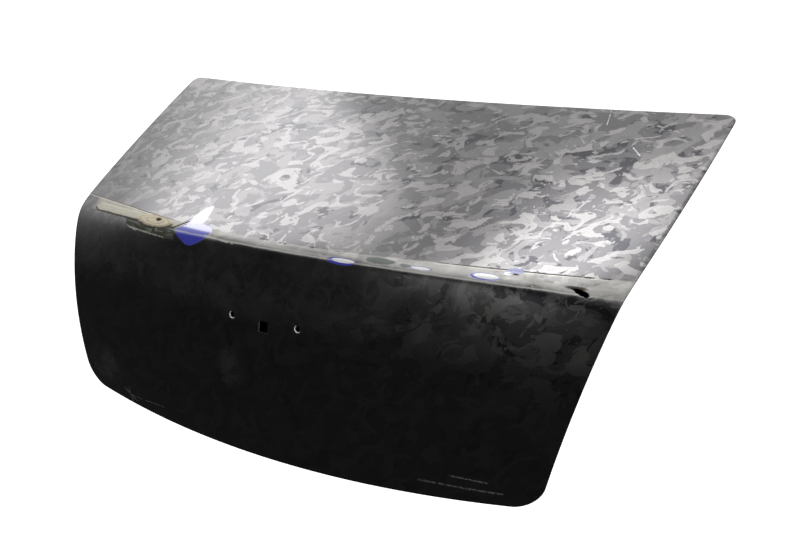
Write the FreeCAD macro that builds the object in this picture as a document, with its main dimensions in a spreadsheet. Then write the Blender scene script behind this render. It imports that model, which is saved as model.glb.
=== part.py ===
import FreeCAD, Part
import Sketcher
import math
import os

from FreeCAD import Placement, Rotation, Vector

# Car trunk lid: a pressed outer skin hemmed round a pressed inner panel.
# Frame: millimetres, +Z up, +X to the right seen from behind the car, +Y forward.
# The origin is the centre of the four hinge bolts, on the underside of the hinge seats.

SIZES = [
    # Side view of the outer skin on the centre line
    ("hinge_setback", 480.0, "crease of deck and rear face, behind the hinge bolts"),
    ("hinge_drop", 29.0, "crease of deck and rear face, below the hinge seats"),
    ("deck_length", 543.8, "crease to front edge, level"),
    ("deck_slope", 10.0, "rise of the deck towards the front, degrees"),
    ("deck_arch", 4.9, "height of the arch along the deck"),
    ("face_drop", 384.7, "crease to lower edge, straight down"),
    ("face_reach", 118.8, "crease to lower edge, rearward"),
    ("face_bulge", 25.0, "rearward bulge of the rear face"),
    ("bend_centre", 12.7, "softness of the crease at the centre"),
    ("bend_end", 31.6, "softness of the crease at its ends"),
    # Half widths of the lid
    ("crease_half_width", 600.0, "at the crease"),
    ("front_half_width", 664.0, "at the front edge"),
    ("base_half_width", 511.7, "at the lower edge"),
    ("side_bow", 5.0, "outward bow of the deck's side edges"),
    ("side_blend", 21.2, "softness of the turn in the side edges"),
    # How each line falls away from the centre to the side of the crease
    ("crease_sweep", 92.8, "crease, forward"),
    ("crease_crown", 33.2, "crease, down"),
    ("crease_droop", 7.3, "crease, further down near the ends"),
    ("front_sweep", 49.5, "front edge, forward"),
    ("front_crown", 8.3, "front edge, down"),
    ("base_sweep", 75.8, "lower edge, forward"),
    ("base_lift", 20.6, "lower edge, up"),
    ("front_corner_radius", 21.0, "front corners"),
    ("base_corner_radius", 63.0, "lower corners"),
    # Sheet, hem and channel
    ("skin_sheet", 0.9, "thickness of the outer skin"),
    ("panel_sheet", 0.9, "thickness of the inner panel"),
    ("hem_gap", 0.15, "adhesive film on either side of the hemmed flange"),
    ("hem_width", 12.0, "width of the folded hem"),
    ("flange_width", 26.0, "flange of the inner panel, edge to channel wall"),
    ("channel_depth", 28.0, "skin to channel floor"),
    ("channel_front_radius", 55.0, "front corners of the channel"),
    ("channel_base_radius", 75.0, "lower corners of the channel"),
    # Windows of the inner panel
    ("lip_width", 18.0, "lip round each window"),
    ("lip_depth", 5.0, "skin to lip"),
    ("window_radius", 28.0, "corners of the windows"),
    ("deck_rib", 50.0, "width of the two fore-and-aft ribs of the deck"),
    ("centre_window_half", 165.0, "half width of the middle deck window"),
    ("crease_beam", 100.0, "crease to deck windows"),
    ("side_beam", 42.0, "side channel, from its wall to the windows' lips"),
    ("front_beam", 48.0, "front channel, from its wall to the middle window's lip"),
    ("seat_land", 12.0, "hinge seat to the lips of the side deck windows"),
    ("rear_rib_half", 115.0, "half width of the middle rib of the rear face"),
    ("rear_window_top", 92.0, "crease to rear windows, down"),
    ("rear_window_height", 150.0, "height of the rear windows"),
    # Hinge seats and their plates
    ("hinge_half_span", 470.0, "centre line to hinge bolts"),
    ("hinge_pitch", 50.0, "distance between the two bolts of a hinge"),
    ("hinge_hole_radius", 4.5, "clearance for an eight millimetre bolt"),
    ("seat_width", 70.0, "across the car"),
    ("seat_length", 90.0, "fore and aft"),
    ("seat_height", 28.0, "height of the pressed form, underside to top"),
    ("plate_sheet", 2.0, "thickness of the reinforcing plates"),
    ("plate_clearance", 4.0, "plate to the walls of its seat"),
    ("plate_corner", 6.0, "corner radius of the plates"),
    ("hinge_nut_flat", 13.0, "weld nut across flats"),
    ("hinge_nut_height", 6.5, "weld nut height"),
    ("hinge_nut_bore", 3.4, "weld nut bore radius"),
    # Latch seat
    ("latch_drop", 313.0, "crease to centre of the latch seat, down"),
    ("latch_setback", 65.0, "crease to front of the latch seat, rearward"),
    ("latch_width", 150.0, "latch seat, across the car"),
    ("latch_height", 80.0, "latch seat, upright"),
    ("latch_form_depth", 30.0, "latch seat, depth of the pressed form"),
    ("latch_pitch_across", 100.0, "latch bolts, across the car"),
    ("latch_pitch_upright", 44.0, "latch bolts, upright"),
    ("latch_hole_radius", 3.4, "clearance for a six millimetre bolt"),
    ("latch_window_width", 56.0, "opening for the latch"),
    ("latch_window_height", 36.0, "opening for the latch"),
    ("latch_window_radius", 6.0, "corners of the latch opening"),
    ("latch_nut_flat", 10.0, "weld nut across flats"),
    ("latch_nut_height", 5.0, "weld nut height"),
    ("latch_nut_bore", 2.55, "weld nut bore radius"),
    # Bump stops at the lower corners
    ("bump_half_span", 400.0, "centre line to bump stop"),
    ("bump_drop", 311.0, "crease to bump stop, down"),
    ("bump_setback", 33.0, "crease to front of the bump seat, rearward"),
    ("bump_seat", 50.0, "side of the square bump seat"),
    ("bump_form_depth", 28.0, "bump seat, depth of the pressed form"),
    ("bump_hole_radius", 6.0, "hole for the stem"),
    ("bump_stem_clearance", 0.1, "stem to hole"),
    ("bump_stem_length", 9.0, "stem behind the seat"),
    ("bump_barb", 1.5, "swelling of the stem behind the seat"),
    ("bump_flange_radius", 15.0, "flange of the bump stop"),
    ("bump_flange_height", 4.0, "flange of the bump stop"),
    ("bump_nose_radius", 10.0, "nose of the bump stop"),
    ("bump_length", 20.0, "seat to tip of the nose"),
    ("bump_nose_round", 4.0, "rounding of the nose"),
    # Holes in the skin
    ("lock_drop", 126.9, "crease to centre of the square hole, down"),
    ("lock_side", 18.0, "side of the square hole"),
    ("pin_drop", 118.5, "crease to badge pin holes, down"),
    ("pin_spacing", 144.5, "distance between the badge pin holes"),
    ("pin_hole_radius", 4.5, "badge pin holes"),
    ("lock_access_radius", 12.0, "round opening of the inner panel above the square hole"),
    ("lock_access_rise", 24.0, "square hole to that opening, up"),
    ("stud_right_x", 534.0, "torn spoiler hole, from the centre line"),
    ("stud_right_forward", 9.5, "torn spoiler hole, forward of the crease"),
    ("stud_right_length", 27.0, "torn spoiler hole, across the car"),
    ("stud_left_x", 307.0, "small spoiler hole, from the centre line"),
    ("stud_left_forward", 16.5, "small spoiler hole, forward of the crease"),
    ("stud_left_radius", 3.0, "small spoiler hole"),
    ("stud_right_radius", 3.5, "torn spoiler hole, half its width"),
    # Mastic and sealer
    ("mastic_radius", 8.0, "anti-flutter mastic dabs"),
    ("mastic_gap", 0.1, "clearance of the dabs to the sheets above and below"),
    ("seat_gap", 0.05, "clearance of the sealer to the sheets it touches"),
    ("sealer_width", 5.0, "sealer bead along the hem's raw edge"),
    ("sealer_height", 1.6, "sealer bead"),
]

# Settings of the surface grids: not sizes of the lid
GRID_COLUMNS = 9
GRID_ROWS = 33
GRID_CROWDING = 3.5
FIT_TOLERANCE = 0.05
OVERRUN = 12.0
TRIM_MARGIN = 12.0
THROUGH = 135.0
HALVINGS = 40
CORNER_PASSES = 4
REACH_PASSES = 3
PARALLEL = 0.999
PROBE = 1.0

document = FreeCAD.newDocument("car_trunk_lid")


def make_sheet():
    """Write the driving dimensions into a spreadsheet and return it."""
    sheet = document.addObject("Spreadsheet::Sheet", "Sizes")
    for row, (alias, value, note) in enumerate(SIZES, start=1):
        sheet.set(f"A{row}", alias)
        sheet.set(f"B{row}", str(value))
        sheet.set(f"C{row}", note)
        sheet.setAlias(f"B{row}", alias)
    document.recompute()
    return sheet


sizes = make_sheet()


def unit(y, z):
    """Return the direction (y, z) with length one."""
    length = math.hypot(y, z)
    return y / length, z / length


class SkinForm:
    """The skin's outer surface, and the same surface moved inward by a depth.

    Three lines run across the car: the front edge, the crease and the lower edge.
    A section through them, fore and aft, is two gently arched runs that a soft bend joins.
    Places on it are given by x and by run: 0 at the crease, 1 at the front, -1 at the bottom.
    """

    def __init__(self, sheet):
        self.sheet = sheet
        rise = sheet.deck_length * math.tan(math.radians(sheet.deck_slope))
        self.front = (sheet.deck_length, rise)
        self.base = (-sheet.face_reach, -sheet.face_drop)
        self.deck_run = math.hypot(*self.front)
        self.face_run = math.hypot(*self.base)
        self.mean_run = (self.deck_run + self.face_run) / 2
        deck_y, deck_z = unit(*self.front)
        face_y, face_z = unit(*self.base)
        self.deck_normal = (-deck_z, deck_y)
        self.face_normal = (face_z, -face_y)
        agreement = sum(a * b for a, b in zip(self.deck_normal, self.face_normal))
        self.crease_normal = tuple(
            (a + b) / (1 + agreement) for a, b in zip(self.deck_normal, self.face_normal))

    def shares(self, run, softness):
        """Return how far a place lies along the deck and along the face, softly blended."""
        root = math.hypot(run, softness / self.mean_run)
        return (root + run) / 2, (root - run) / 2

    def half_width(self, run):
        """Return the half width of the lid at a place along its run."""
        sheet = self.sheet
        deck, face = self.shares(run, sheet.side_blend)
        return (sheet.crease_half_width
                + (sheet.front_half_width - sheet.crease_half_width) * deck
                + (sheet.base_half_width - sheet.crease_half_width) * face
                + 4 * sheet.side_bow * deck * (1 - deck))

    def crease_y(self, x):
        """Return how far forward the virtual crease lies at x."""
        return self.sheet.crease_sweep * (x / self.sheet.crease_half_width) ** 2 - self.sheet.hinge_setback

    def crease_z(self, x):
        """Return how high the virtual crease lies at x."""
        square = (x / self.sheet.crease_half_width) ** 2
        return -self.sheet.crease_crown * square - self.sheet.crease_droop * square ** 2 - self.sheet.hinge_drop

    def run_at(self, y):
        """Return the run of the side edge at y, on the deck."""
        crease = self.sheet.crease_sweep - self.sheet.hinge_setback
        length = self.sheet.deck_length + self.sheet.front_sweep - self.sheet.crease_sweep
        return (y - crease) / length

    def run_below(self, place, on_deck):
        """Return the run above a place on a lip, matching its y on the deck or its z on the rear."""
        low, high = (0.0, 1.0) if on_deck else (-1.0, 0.0)
        for _ in range(HALVINGS):
            middle = (low + high) / 2
            here = self.below(place.x, middle, self.sheet.lip_depth)
            short = here.y < place.y if on_deck else here.z < place.z
            low, high = (middle, high) if short else (low, middle)
        return (low + high) / 2

    def point(self, x, run, depth):
        """Return the point at x and run, depth millimetres inside the outer surface."""
        sheet = self.sheet
        square = (x / sheet.crease_half_width) ** 2
        crease = (sheet.crease_sweep * square - depth * self.crease_normal[0],
                  -sheet.crease_crown * square - sheet.crease_droop * square ** 2
                  - depth * self.crease_normal[1])
        front = (self.front[0] + sheet.front_sweep * square - depth * self.deck_normal[0],
                 self.front[1] - sheet.front_crown * square - depth * self.deck_normal[1])
        base = (self.base[0] + sheet.base_sweep * square - depth * self.face_normal[0],
                self.base[1] + sheet.base_lift * square - depth * self.face_normal[1])
        softness = sheet.bend_centre + (sheet.bend_end - sheet.bend_centre) * square ** 2
        deck, face = self.shares(run, softness)
        arch = 4 * sheet.deck_arch * deck * (1 - deck)
        bulge = 4 * sheet.face_bulge * face * (1 - face)
        y, z = (crease[i] + deck * (front[i] - crease[i]) + face * (base[i] - crease[i])
                + arch * self.deck_normal[i] + bulge * self.face_normal[i] for i in (0, 1))
        return Vector(x, y - sheet.hinge_setback, z - sheet.hinge_drop)

    def normal(self, x, run):
        """Return the outward direction square to the outer surface."""
        step = PROBE / self.deck_run
        across = self.point(x + PROBE, run, 0) - self.point(x - PROBE, run, 0)
        along = self.point(x, run + step, 0) - self.point(x, run - step, 0)
        return across.cross(along).normalize()

    def below(self, x, run, distance):
        """Return the point at a distance straight below a place on the outer surface."""
        return self.point(x, run, 0) - self.normal(x, run) * distance

    def surface(self, depth, inset):
        """Return a smooth surface at a depth, its four edges moved inward by inset."""
        front_run = 1 - inset / self.deck_run
        base_run = 1 - inset / self.face_run
        rows = []
        for row in range(GRID_ROWS):
            spread = 2 * row / (GRID_ROWS - 1) - 1
            run = math.sinh(GRID_CROWDING * spread) / math.sinh(GRID_CROWDING)
            run *= front_run if run > 0 else base_run
            reach = self.half_width(run) - inset
            rows.append([self.point(reach * (2 * column / (GRID_COLUMNS - 1) - 1), run, depth)
                         for column in range(GRID_COLUMNS)])
        surface = Part.BSplineSurface()
        surface.approximate(Points=rows, DegMin=3, DegMax=5, Continuity=2,
                            Tolerance=FIT_TOLERANCE, ParamType="ChordLength")
        return surface.toShape()

    def slab(self, upper, lower, inset):
        """Return the solid between two depths, its edges square to the surface."""
        top = self.surface(upper, inset)
        bottom = self.surface(lower, inset)
        sides = [Part.makeRuledSurface(a, b) for a, b in zip(top.Edges, bottom.Edges)]
        shell = Part.Shell([top, bottom] + sides)
        shell.sewShape()
        solid = Part.makeSolid(shell)
        if solid.Volume < 0:
            solid.reverse()
        return solid

    def corner_tool(self, side, end, inset, radius, height):
        """Return the cutter that rounds one corner: side and end are -1 or 1."""
        run_length = self.deck_run if end > 0 else self.face_run
        end_run = end * (1 - inset / run_length)

        def along_side(distance):
            run = end_run - end * distance / run_length
            return self.point(side * (self.half_width(run) - inset), run, 0)

        def along_end(distance):
            return self.point(side * (self.half_width(end_run) - inset - distance), end_run, 0)

        corner = along_side(0)
        tangent = radius
        for _ in range(CORNER_PASSES):
            first = second = tangent
            for _ in range(REACH_PASSES):
                first *= tangent / (along_side(first) - corner).Length
                second *= tangent / (along_end(second) - corner).Length
            start, finish = along_side(first), along_end(second)
            start_way = (start - corner).normalize()
            finish_way = (finish - corner).normalize()
            angle = start_way.getAngle(finish_way)
            tangent = radius / math.tan(angle / 2)
        inward = (start_way + finish_way).normalize()
        centre = corner + inward * (radius / math.sin(angle / 2))
        across = start_way.cross(finish_way).normalize()
        outer = [finish * 2 - centre, corner * 2 - centre, start * 2 - centre]
        arc = Part.Arc(start, centre - inward * radius, finish).toShape()
        lines = [Part.LineSegment(a, b).toShape()
                 for a, b in zip([finish] + outer, outer + [start])]
        profile = Part.Face(Part.Wire([arc] + lines))
        return profile.extrude(across * 2 * height).translated(across * -height)

    def trim(self, inset, front_radius, base_radius):
        """Return the solid that a trimming die keeps, with four rounded corners."""
        below = self.sheet.channel_depth + TRIM_MARGIN
        blank = self.slab(-TRIM_MARGIN, below, inset)
        height = 2 * below
        tools = [self.corner_tool(side, end, inset, radius, height)
                 for side in (-1, 1) for end, radius in ((1, front_radius), (-1, base_radius))]
        return blank.cut(tools)

    def edge_trim(self, inset):
        """Return the trim that follows the lid's own edge at an inset."""
        return self.trim(inset, self.sheet.front_corner_radius - inset,
                         self.sheet.base_corner_radius - inset)

    def layer(self, upper, lower, trim):
        """Return the material between two depths that a trim keeps."""
        return self.slab(upper, lower, -OVERRUN).common(trim)


form = SkinForm(sizes)

# Depths of the hemmed edge, from the outside inward
FLANGE_TOP = sizes.skin_sheet + sizes.hem_gap
FLANGE_BOTTOM = FLANGE_TOP + sizes.panel_sheet
FOLD_TOP = FLANGE_BOTTOM + sizes.hem_gap
FOLD_BOTTOM = FOLD_TOP + sizes.skin_sheet
FLOOR_BOTTOM = sizes.channel_depth + sizes.panel_sheet

# Places that several pieces share
CREASE_Y = -sizes.hinge_setback
CREASE_Z = -sizes.hinge_drop
LOCK_Z = CREASE_Z - sizes.lock_drop
LATCH_Y = CREASE_Y - sizes.latch_setback
LATCH_Z = CREASE_Z - sizes.latch_drop
BUMP_Y = CREASE_Y - sizes.bump_setback
BUMP_Z = CREASE_Z - sizes.bump_drop
SIDES = (("left", -1), ("right", 1))


def box(width, length, height, centre):
    """Return a box of these sizes about a centre."""
    corner = centre - Vector(width, length, height) / 2
    return Part.makeBox(width, length, height, corner)


def grown(points, distance):
    """Return a convex outline, listed anticlockwise, moved outward by a distance."""
    moved = []
    for before, here, after in zip(points[-1:] + points[:-1], points, points[1:] + points[:1]):
        first = (here - before).normalize()
        second = (after - here).normalize()
        outward = Vector(first.y + second.y, -first.x - second.x, 0)
        moved.append(here + outward * (distance / (1 + first.dot(second))))
    return moved


class Window:
    """An opening of the inner panel: a rounded outline, cut square to the deck or to the rear."""

    def __init__(self, corners, on_deck, middle):
        self.corners = corners
        self.on_deck = on_deck
        self.middle = middle

    def place(self, point):
        """Return the point in space of a point of the outline, in mid sheet."""
        if self.on_deck:
            return Vector(point.x, point.y, self.middle)
        return Vector(point.x, self.middle, point.y)

    def prism(self, grow):
        """Return the solid that passes through the window, grown outward by grow."""
        points = [self.place(point) for point in grown(self.corners, grow)]
        way = Vector(0, 0, THROUGH) if self.on_deck else Vector(0, THROUGH, 0)
        face = Part.Face(Part.makePolygon(points + points[:1]))
        solid = face.extrude(way * 2).translated(way * -1)
        along = [edge for edge in solid.Edges if edge.Length > 2 * THROUGH - 1
                 and abs(edge.tangentAt(edge.FirstParameter).dot(way)) > THROUGH / 2]
        return solid.makeFillet(sizes.window_radius + grow, along)

    def lip_centres(self):
        """Return the middle of each side of the lip."""
        points = grown(self.corners, sizes.lip_width / 2)
        return [self.place((a + b) / 2) for a, b in zip(points, points[1:] + points[:1])]


def mirrored(points):
    """Return an outline mirrored to the other side of the car, still anticlockwise."""
    return [Vector(-point.x, point.y, 0) for point in reversed(points)]


def deck_windows():
    """Return the three windows of the deck."""
    border = sizes.lip_width + sizes.panel_sheet
    edge = sizes.flange_width + sizes.side_beam + border
    half = sizes.centre_window_half
    front = form.point(0, 1, 0).y - sizes.flange_width - sizes.front_beam - border
    middle = [Vector(-half, CREASE_Y + sizes.crease_beam, 0), Vector(half, CREASE_Y + sizes.crease_beam, 0),
              Vector(half, front, 0), Vector(-half, front, 0)]
    inner = half + 2 * border + sizes.deck_rib
    side_front = -sizes.seat_length / 2 - sizes.seat_land - border
    front_run = form.run_at(side_front)
    rear_run = sizes.crease_beam / form.deck_run
    outer_front = form.half_width(front_run) - edge
    outer_rear = form.half_width(rear_run) - edge
    right = [Vector(inner, form.crease_y(inner) + sizes.crease_beam, 0),
             Vector(outer_rear, form.crease_y(outer_rear) + sizes.crease_beam, 0),
             Vector(outer_front, side_front, 0), Vector(inner, side_front, 0)]
    level = form.point(0, 1 / 2, 0).z
    return [Window(outline, True, level) for outline in (mirrored(right), middle, right)]


def rear_windows():
    """Return the two windows of the rear face."""
    border = sizes.lip_width + sizes.panel_sheet
    edge = sizes.flange_width + sizes.side_beam + border
    inner = sizes.rear_rib_half
    bottom = CREASE_Z - sizes.rear_window_top - sizes.rear_window_height
    top_run = -sizes.rear_window_top / sizes.face_drop
    bottom_run = -(sizes.rear_window_top + sizes.rear_window_height) / sizes.face_drop
    outer_top = form.half_width(top_run) - edge
    outer_bottom = form.half_width(bottom_run) - edge
    right = [Vector(inner, bottom, 0), Vector(outer_bottom, bottom, 0),
             Vector(outer_top, form.crease_z(outer_top) - sizes.rear_window_top, 0),
             Vector(inner, form.crease_z(inner) - sizes.rear_window_top, 0)]
    level = form.point(0, -1 / 2, 0).y
    return [Window(outline, False, level) for outline in (mirrored(right), right)]


WINDOWS = deck_windows() + rear_windows()


def outer_skin():
    """Return the pressed skin with its edge folded back over the inner panel's flange."""
    edge = form.edge_trim(0)
    fold_inside = form.edge_trim(sizes.skin_sheet)
    fold_end = form.edge_trim(sizes.hem_width)
    skin = form.layer(0, FOLD_BOTTOM, edge)
    skin = skin.cut(form.layer(sizes.skin_sheet, FOLD_TOP, fold_inside))
    skin = skin.cut(form.layer((FLANGE_TOP + FLANGE_BOTTOM) / 2, FOLD_BOTTOM + sizes.skin_sheet, fold_end))
    across = Vector(0, THROUGH, 0)
    face_y = form.point(0, -sizes.lock_drop / sizes.face_drop, 0).y
    lock = box(sizes.lock_side, THROUGH, sizes.lock_side, Vector(0, face_y, LOCK_Z))
    pins = [Part.makeCylinder(sizes.pin_hole_radius, THROUGH,
                              Vector(side * sizes.pin_spacing / 2, face_y, CREASE_Z - sizes.pin_drop)
                              - across / 2, across) for _, side in SIDES]
    torn_at = Vector(sizes.stud_right_x, form.crease_y(sizes.stud_right_x) + sizes.stud_right_forward,
                     form.crease_z(sizes.stud_right_x))
    half_slot = sizes.stud_right_length / 2 - sizes.stud_right_radius
    torn = [box(2 * half_slot, 2 * sizes.stud_right_radius, THROUGH, torn_at)]
    torn += [Part.makeCylinder(sizes.stud_right_radius, THROUGH,
                               torn_at + Vector(side * half_slot, 0, -THROUGH / 2)) for _, side in SIDES]
    small_at = Vector(-sizes.stud_left_x, form.crease_y(sizes.stud_left_x) + sizes.stud_left_forward,
                      form.crease_z(sizes.stud_left_x) - THROUGH / 2)
    small = Part.makeCylinder(sizes.stud_left_radius, THROUGH, small_at)
    return skin.cut([lock, small] + pins + torn)


def seats(wall):
    """Return the pressed seats of the hinges, latch and bump stops, moved inward by a wall."""
    forms = []
    for _, side in SIDES:
        centre = Vector(side * sizes.hinge_half_span, 0, wall + sizes.seat_height / 2)
        forms.append(box(sizes.seat_width - 2 * wall, sizes.seat_length - 2 * wall,
                         sizes.seat_height, centre))
        centre = Vector(side * sizes.bump_half_span, BUMP_Y - wall - sizes.bump_form_depth / 2, BUMP_Z)
        forms.append(box(sizes.bump_seat - 2 * wall, sizes.bump_form_depth,
                         sizes.bump_seat - 2 * wall, centre))
    centre = Vector(0, LATCH_Y - wall - sizes.latch_form_depth / 2, LATCH_Z)
    forms.append(box(sizes.latch_width - 2 * wall, sizes.latch_form_depth,
                     sizes.latch_height - 2 * wall, centre))
    return forms


def hinge_hole_places(side):
    """Return the places of the two bolts of one hinge."""
    return [Vector(side * sizes.hinge_half_span, end * sizes.hinge_pitch / 2, 0) for end in (-1, 1)]


def latch_hole_places():
    """Return the places of the four bolts of the latch."""
    return [Vector(across * sizes.latch_pitch_across / 2, LATCH_Y, LATCH_Z + up * sizes.latch_pitch_upright / 2)
            for across in (-1, 1) for up in (-1, 1)]


def panel_holes():
    """Return the cutters of every bolt hole and access hole of the inner panel."""
    upward = Vector(0, 0, 1)
    forward = Vector(0, 1, 0)
    reach = 2 * sizes.plate_sheet + sizes.panel_sheet
    holes = []
    for _, side in SIDES:
        holes += [Part.makeCylinder(sizes.hinge_hole_radius, 2 * reach, place - upward * reach)
                  for place in hinge_hole_places(side)]
        place = Vector(side * sizes.bump_half_span, BUMP_Y - reach, BUMP_Z)
        holes.append(Part.makeCylinder(sizes.bump_hole_radius, 2 * reach, place, forward))
    holes += [Part.makeCylinder(sizes.latch_hole_radius, 2 * reach, place - forward * reach, forward)
              for place in latch_hole_places()]
    mouth = box(sizes.latch_window_width, 2 * reach, sizes.latch_window_height,
                Vector(0, LATCH_Y, LATCH_Z))
    along = [edge for edge in mouth.Edges if abs(edge.Length - 2 * reach) < sizes.seat_gap]
    holes.append(mouth.makeFillet(sizes.latch_window_radius, along))
    floor_y = form.point(0, -sizes.lock_drop / sizes.face_drop, sizes.channel_depth).y
    place = Vector(0, floor_y - sizes.channel_depth / 2, LOCK_Z + sizes.lock_access_rise)
    holes.append(Part.makeCylinder(sizes.lock_access_radius, sizes.channel_depth, place, forward))
    return holes


def inner_panel():
    """Return the pressed inner panel: flange, channel, seats, windows and their lips."""
    wall = sizes.panel_sheet
    inset = sizes.flange_width
    outside = form.trim(inset, sizes.channel_front_radius, sizes.channel_base_radius)
    inside = form.trim(inset + wall, sizes.channel_front_radius - wall, sizes.channel_base_radius - wall)
    between = form.trim(inset + wall / 2, sizes.channel_front_radius - wall / 2,
                        sizes.channel_base_radius - wall / 2)
    block = form.layer((FLANGE_TOP + FLANGE_BOTTOM) / 2, FLOOR_BOTTOM, outside).fuse(seats(0))
    channel = form.layer(0, sizes.channel_depth, inside).fuse(seats(wall))
    outer_prisms = [window.prism(sizes.lip_width + wall) for window in WINDOWS]
    panel = block.cut(channel.cut(outer_prisms))
    border_prisms = [window.prism(sizes.lip_width + 2 * wall) for window in WINDOWS]
    above_lip = form.layer(0, sizes.lip_depth, inside).common(Part.makeCompound(border_prisms))
    inner_prisms = Part.makeCompound([window.prism(sizes.lip_width) for window in WINDOWS])
    below_lip = form.layer(sizes.lip_depth + wall, FLOOR_BOTTOM + wall, inside).common(inner_prisms)
    openings = [window.prism(0) for window in WINDOWS]
    panel = panel.cut([above_lip, below_lip] + openings + panel_holes())
    flange = form.slab(FLANGE_TOP, FLANGE_BOTTOM, -OVERRUN)
    flange = flange.common(form.edge_trim(sizes.skin_sheet + sizes.hem_gap)).cut(between)
    return panel.fuse(flange)


def hem_sealer():
    """Return the bead that covers the raw edge of the folded hem."""
    top = FLANGE_BOTTOM + sizes.seat_gap
    start = sizes.hem_width + sizes.seat_gap
    bead = form.layer(top, top + sizes.sealer_height, form.edge_trim(start))
    return bead.cut(form.edge_trim(start + sizes.sealer_width))


def mastic_dabs(on_deck):
    """Return the dabs between the skin and the lips of the deck or rear windows."""
    height = sizes.lip_depth - sizes.skin_sheet - 2 * sizes.mastic_gap
    dabs = []
    for window in WINDOWS:
        if window.on_deck != on_deck:
            continue
        for seat in window.lip_centres():
            run = form.run_below(seat, on_deck)
            foot = form.below(seat.x, run, sizes.lip_depth - sizes.mastic_gap)
            dabs.append(Part.makeCylinder(sizes.mastic_radius, height, foot, form.normal(seat.x, run)))
    return Part.makeCompound(dabs)


def add_stamping(label, shape):
    """Add a pressed or poured piece to the document under its label."""
    feature = document.addObject("Part::Feature", label)
    feature.Label = label
    feature.Shape = shape
    feature.Placement = Placement()
    return feature


def cell(name):
    """Return the expression that reads one driving dimension."""
    return f"Sizes.{name}"


def origin_plane(body, role):
    """Return one of a body's own origin planes."""
    return next(item for item in body.Origin.OriginFeatures if item.Role == role)


def new_sketch(body, role, name):
    """Return a new sketch on an origin plane of a body."""
    sketch = body.newObject("Sketcher::SketchObject", name)
    sketch.AttachmentSupport = (origin_plane(body, role), [""])
    sketch.MapMode = "FlatFace"
    return sketch


def hold(sketch, kind, name, expression, *places):
    """Add a named dimension to a sketch and bind it to an expression."""
    value = sketch.evalExpression(expression)
    index = sketch.addConstraint(Sketcher.Constraint(kind, *places, float(value)))
    sketch.renameConstraint(index, name)
    sketch.setExpression(f"Constraints.{name}", expression)


def place_vertex(sketch, name, edge, end, across, up):
    """Tie one end of a sketch edge to its two coordinates."""
    for kind, axis, expression in (("DistanceX", -2, across), ("DistanceY", -1, up)):
        if expression == "0":
            sketch.addConstraint(Sketcher.Constraint("PointOnObject", edge, end, axis))
        else:
            hold(sketch, kind, f"{name}{kind}", expression, -1, 1, edge, end)


def outline_sketch(body, role, name, corners):
    """Return a closed sketch of straight lines whose corners are pairs of expressions."""
    sketch = new_sketch(body, role, name)
    points = [Vector(*(float(sketch.evalExpression(term)) for term in pair), 0) for pair in corners]
    following = points[1:] + points[:1]
    for start, finish in zip(points, following):
        sketch.addGeometry(Part.LineSegment(start, finish), False)
    count = len(points)
    for edge in range(count):
        sketch.addConstraint(Sketcher.Constraint("Coincident", edge, 2, (edge + 1) % count, 1))
    for edge, (across, up) in enumerate(corners):
        place_vertex(sketch, f"corner{edge}", edge, 1, across, up)
    return sketch


def circle_sketch(body, role, name, circles):
    """Return a sketch of circles: each a radius and two coordinates, all expressions."""
    sketch = new_sketch(body, role, name)
    for edge, (radius, across, up) in enumerate(circles):
        middle = Vector(float(sketch.evalExpression(across)), float(sketch.evalExpression(up)), 0)
        size = float(sketch.evalExpression(radius))
        sketch.addGeometry(Part.Circle(middle, Vector(0, 0, 1), size), False)
        hold(sketch, "Radius", f"radius{edge}", radius, edge)
        place_vertex(sketch, f"centre{edge}", edge, 3, across, up)
    return sketch


def rectangle(width, height):
    """Return the corners of a centred rectangle as expressions."""
    return [(f"-({width}) / 2", f"-({height}) / 2"), (f"({width}) / 2", f"-({height}) / 2"),
            (f"({width}) / 2", f"({height}) / 2"), (f"-({width}) / 2", f"({height}) / 2")]


def add_pad(body, sketch, name, length, reverse=False):
    """Add a pad of a sketch to a body, its length an expression."""
    pad = body.newObject("PartDesign::Pad", name)
    pad.Profile = sketch
    pad.setExpression("Length", length)
    pad.Reversed = reverse
    document.recompute()
    return pad


def cut_through(body, sketch, name):
    """Cut a sketch right through a body in both directions."""
    pocket = body.newObject("PartDesign::Pocket", name)
    pocket.Profile = sketch
    pocket.Type = "ThroughAll"
    pocket.Midplane = True
    document.recompute()
    return pocket


def round_uprights(body, feature, name, axis, radius):
    """Round the outer edges of a plate that run along an axis."""
    picked = [f"Edge{number}" for number, edge in enumerate(feature.Shape.Edges, start=1)
              if len(edge.Vertexes) == 2 and isinstance(edge.Curve, Part.Line)
              and abs(edge.Curve.Direction.dot(axis)) > PARALLEL]
    rounding = body.newObject("PartDesign::Fillet", name)
    rounding.Base = (feature, picked)
    rounding.setExpression("Radius", radius)
    document.recompute()
    return rounding


def bind_place(item, across, forward, up):
    """Bind a piece's place to three expressions."""
    for letter, expression in zip("xyz", (across, forward, up)):
        item.setExpression(f".Placement.Base.{letter}", expression)


CREASE_BACK = f"-{cell('hinge_setback')}"
CREASE_DOWN = f"-{cell('hinge_drop')}"


def hinge_reinforcement(label, side):
    """Return the plate welded inside one hinge seat."""
    body = document.addObject("PartDesign::Body", label)
    margin = f"2 * {cell('panel_sheet')} - 2 * {cell('plate_clearance')}"
    outline = rectangle(f"{cell('seat_width')} - {margin}", f"{cell('seat_length')} - {margin}")
    plate = add_pad(body, outline_sketch(body, "XY_Plane", "Outline", outline), "Plate",
                    cell("plate_sheet"))
    round_uprights(body, plate, "Corners", Vector(0, 0, 1), cell("plate_corner"))
    half = f"{cell('hinge_pitch')} / 2"
    circles = [(cell("hinge_hole_radius"), "0", half), (cell("hinge_hole_radius"), "0", f"-{half}")]
    cut_through(body, circle_sketch(body, "XY_Plane", "BoltHoles", circles), "BoltHoles")
    bind_place(body, f"{side} * {cell('hinge_half_span')}", "0", cell("panel_sheet"))
    return body


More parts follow.
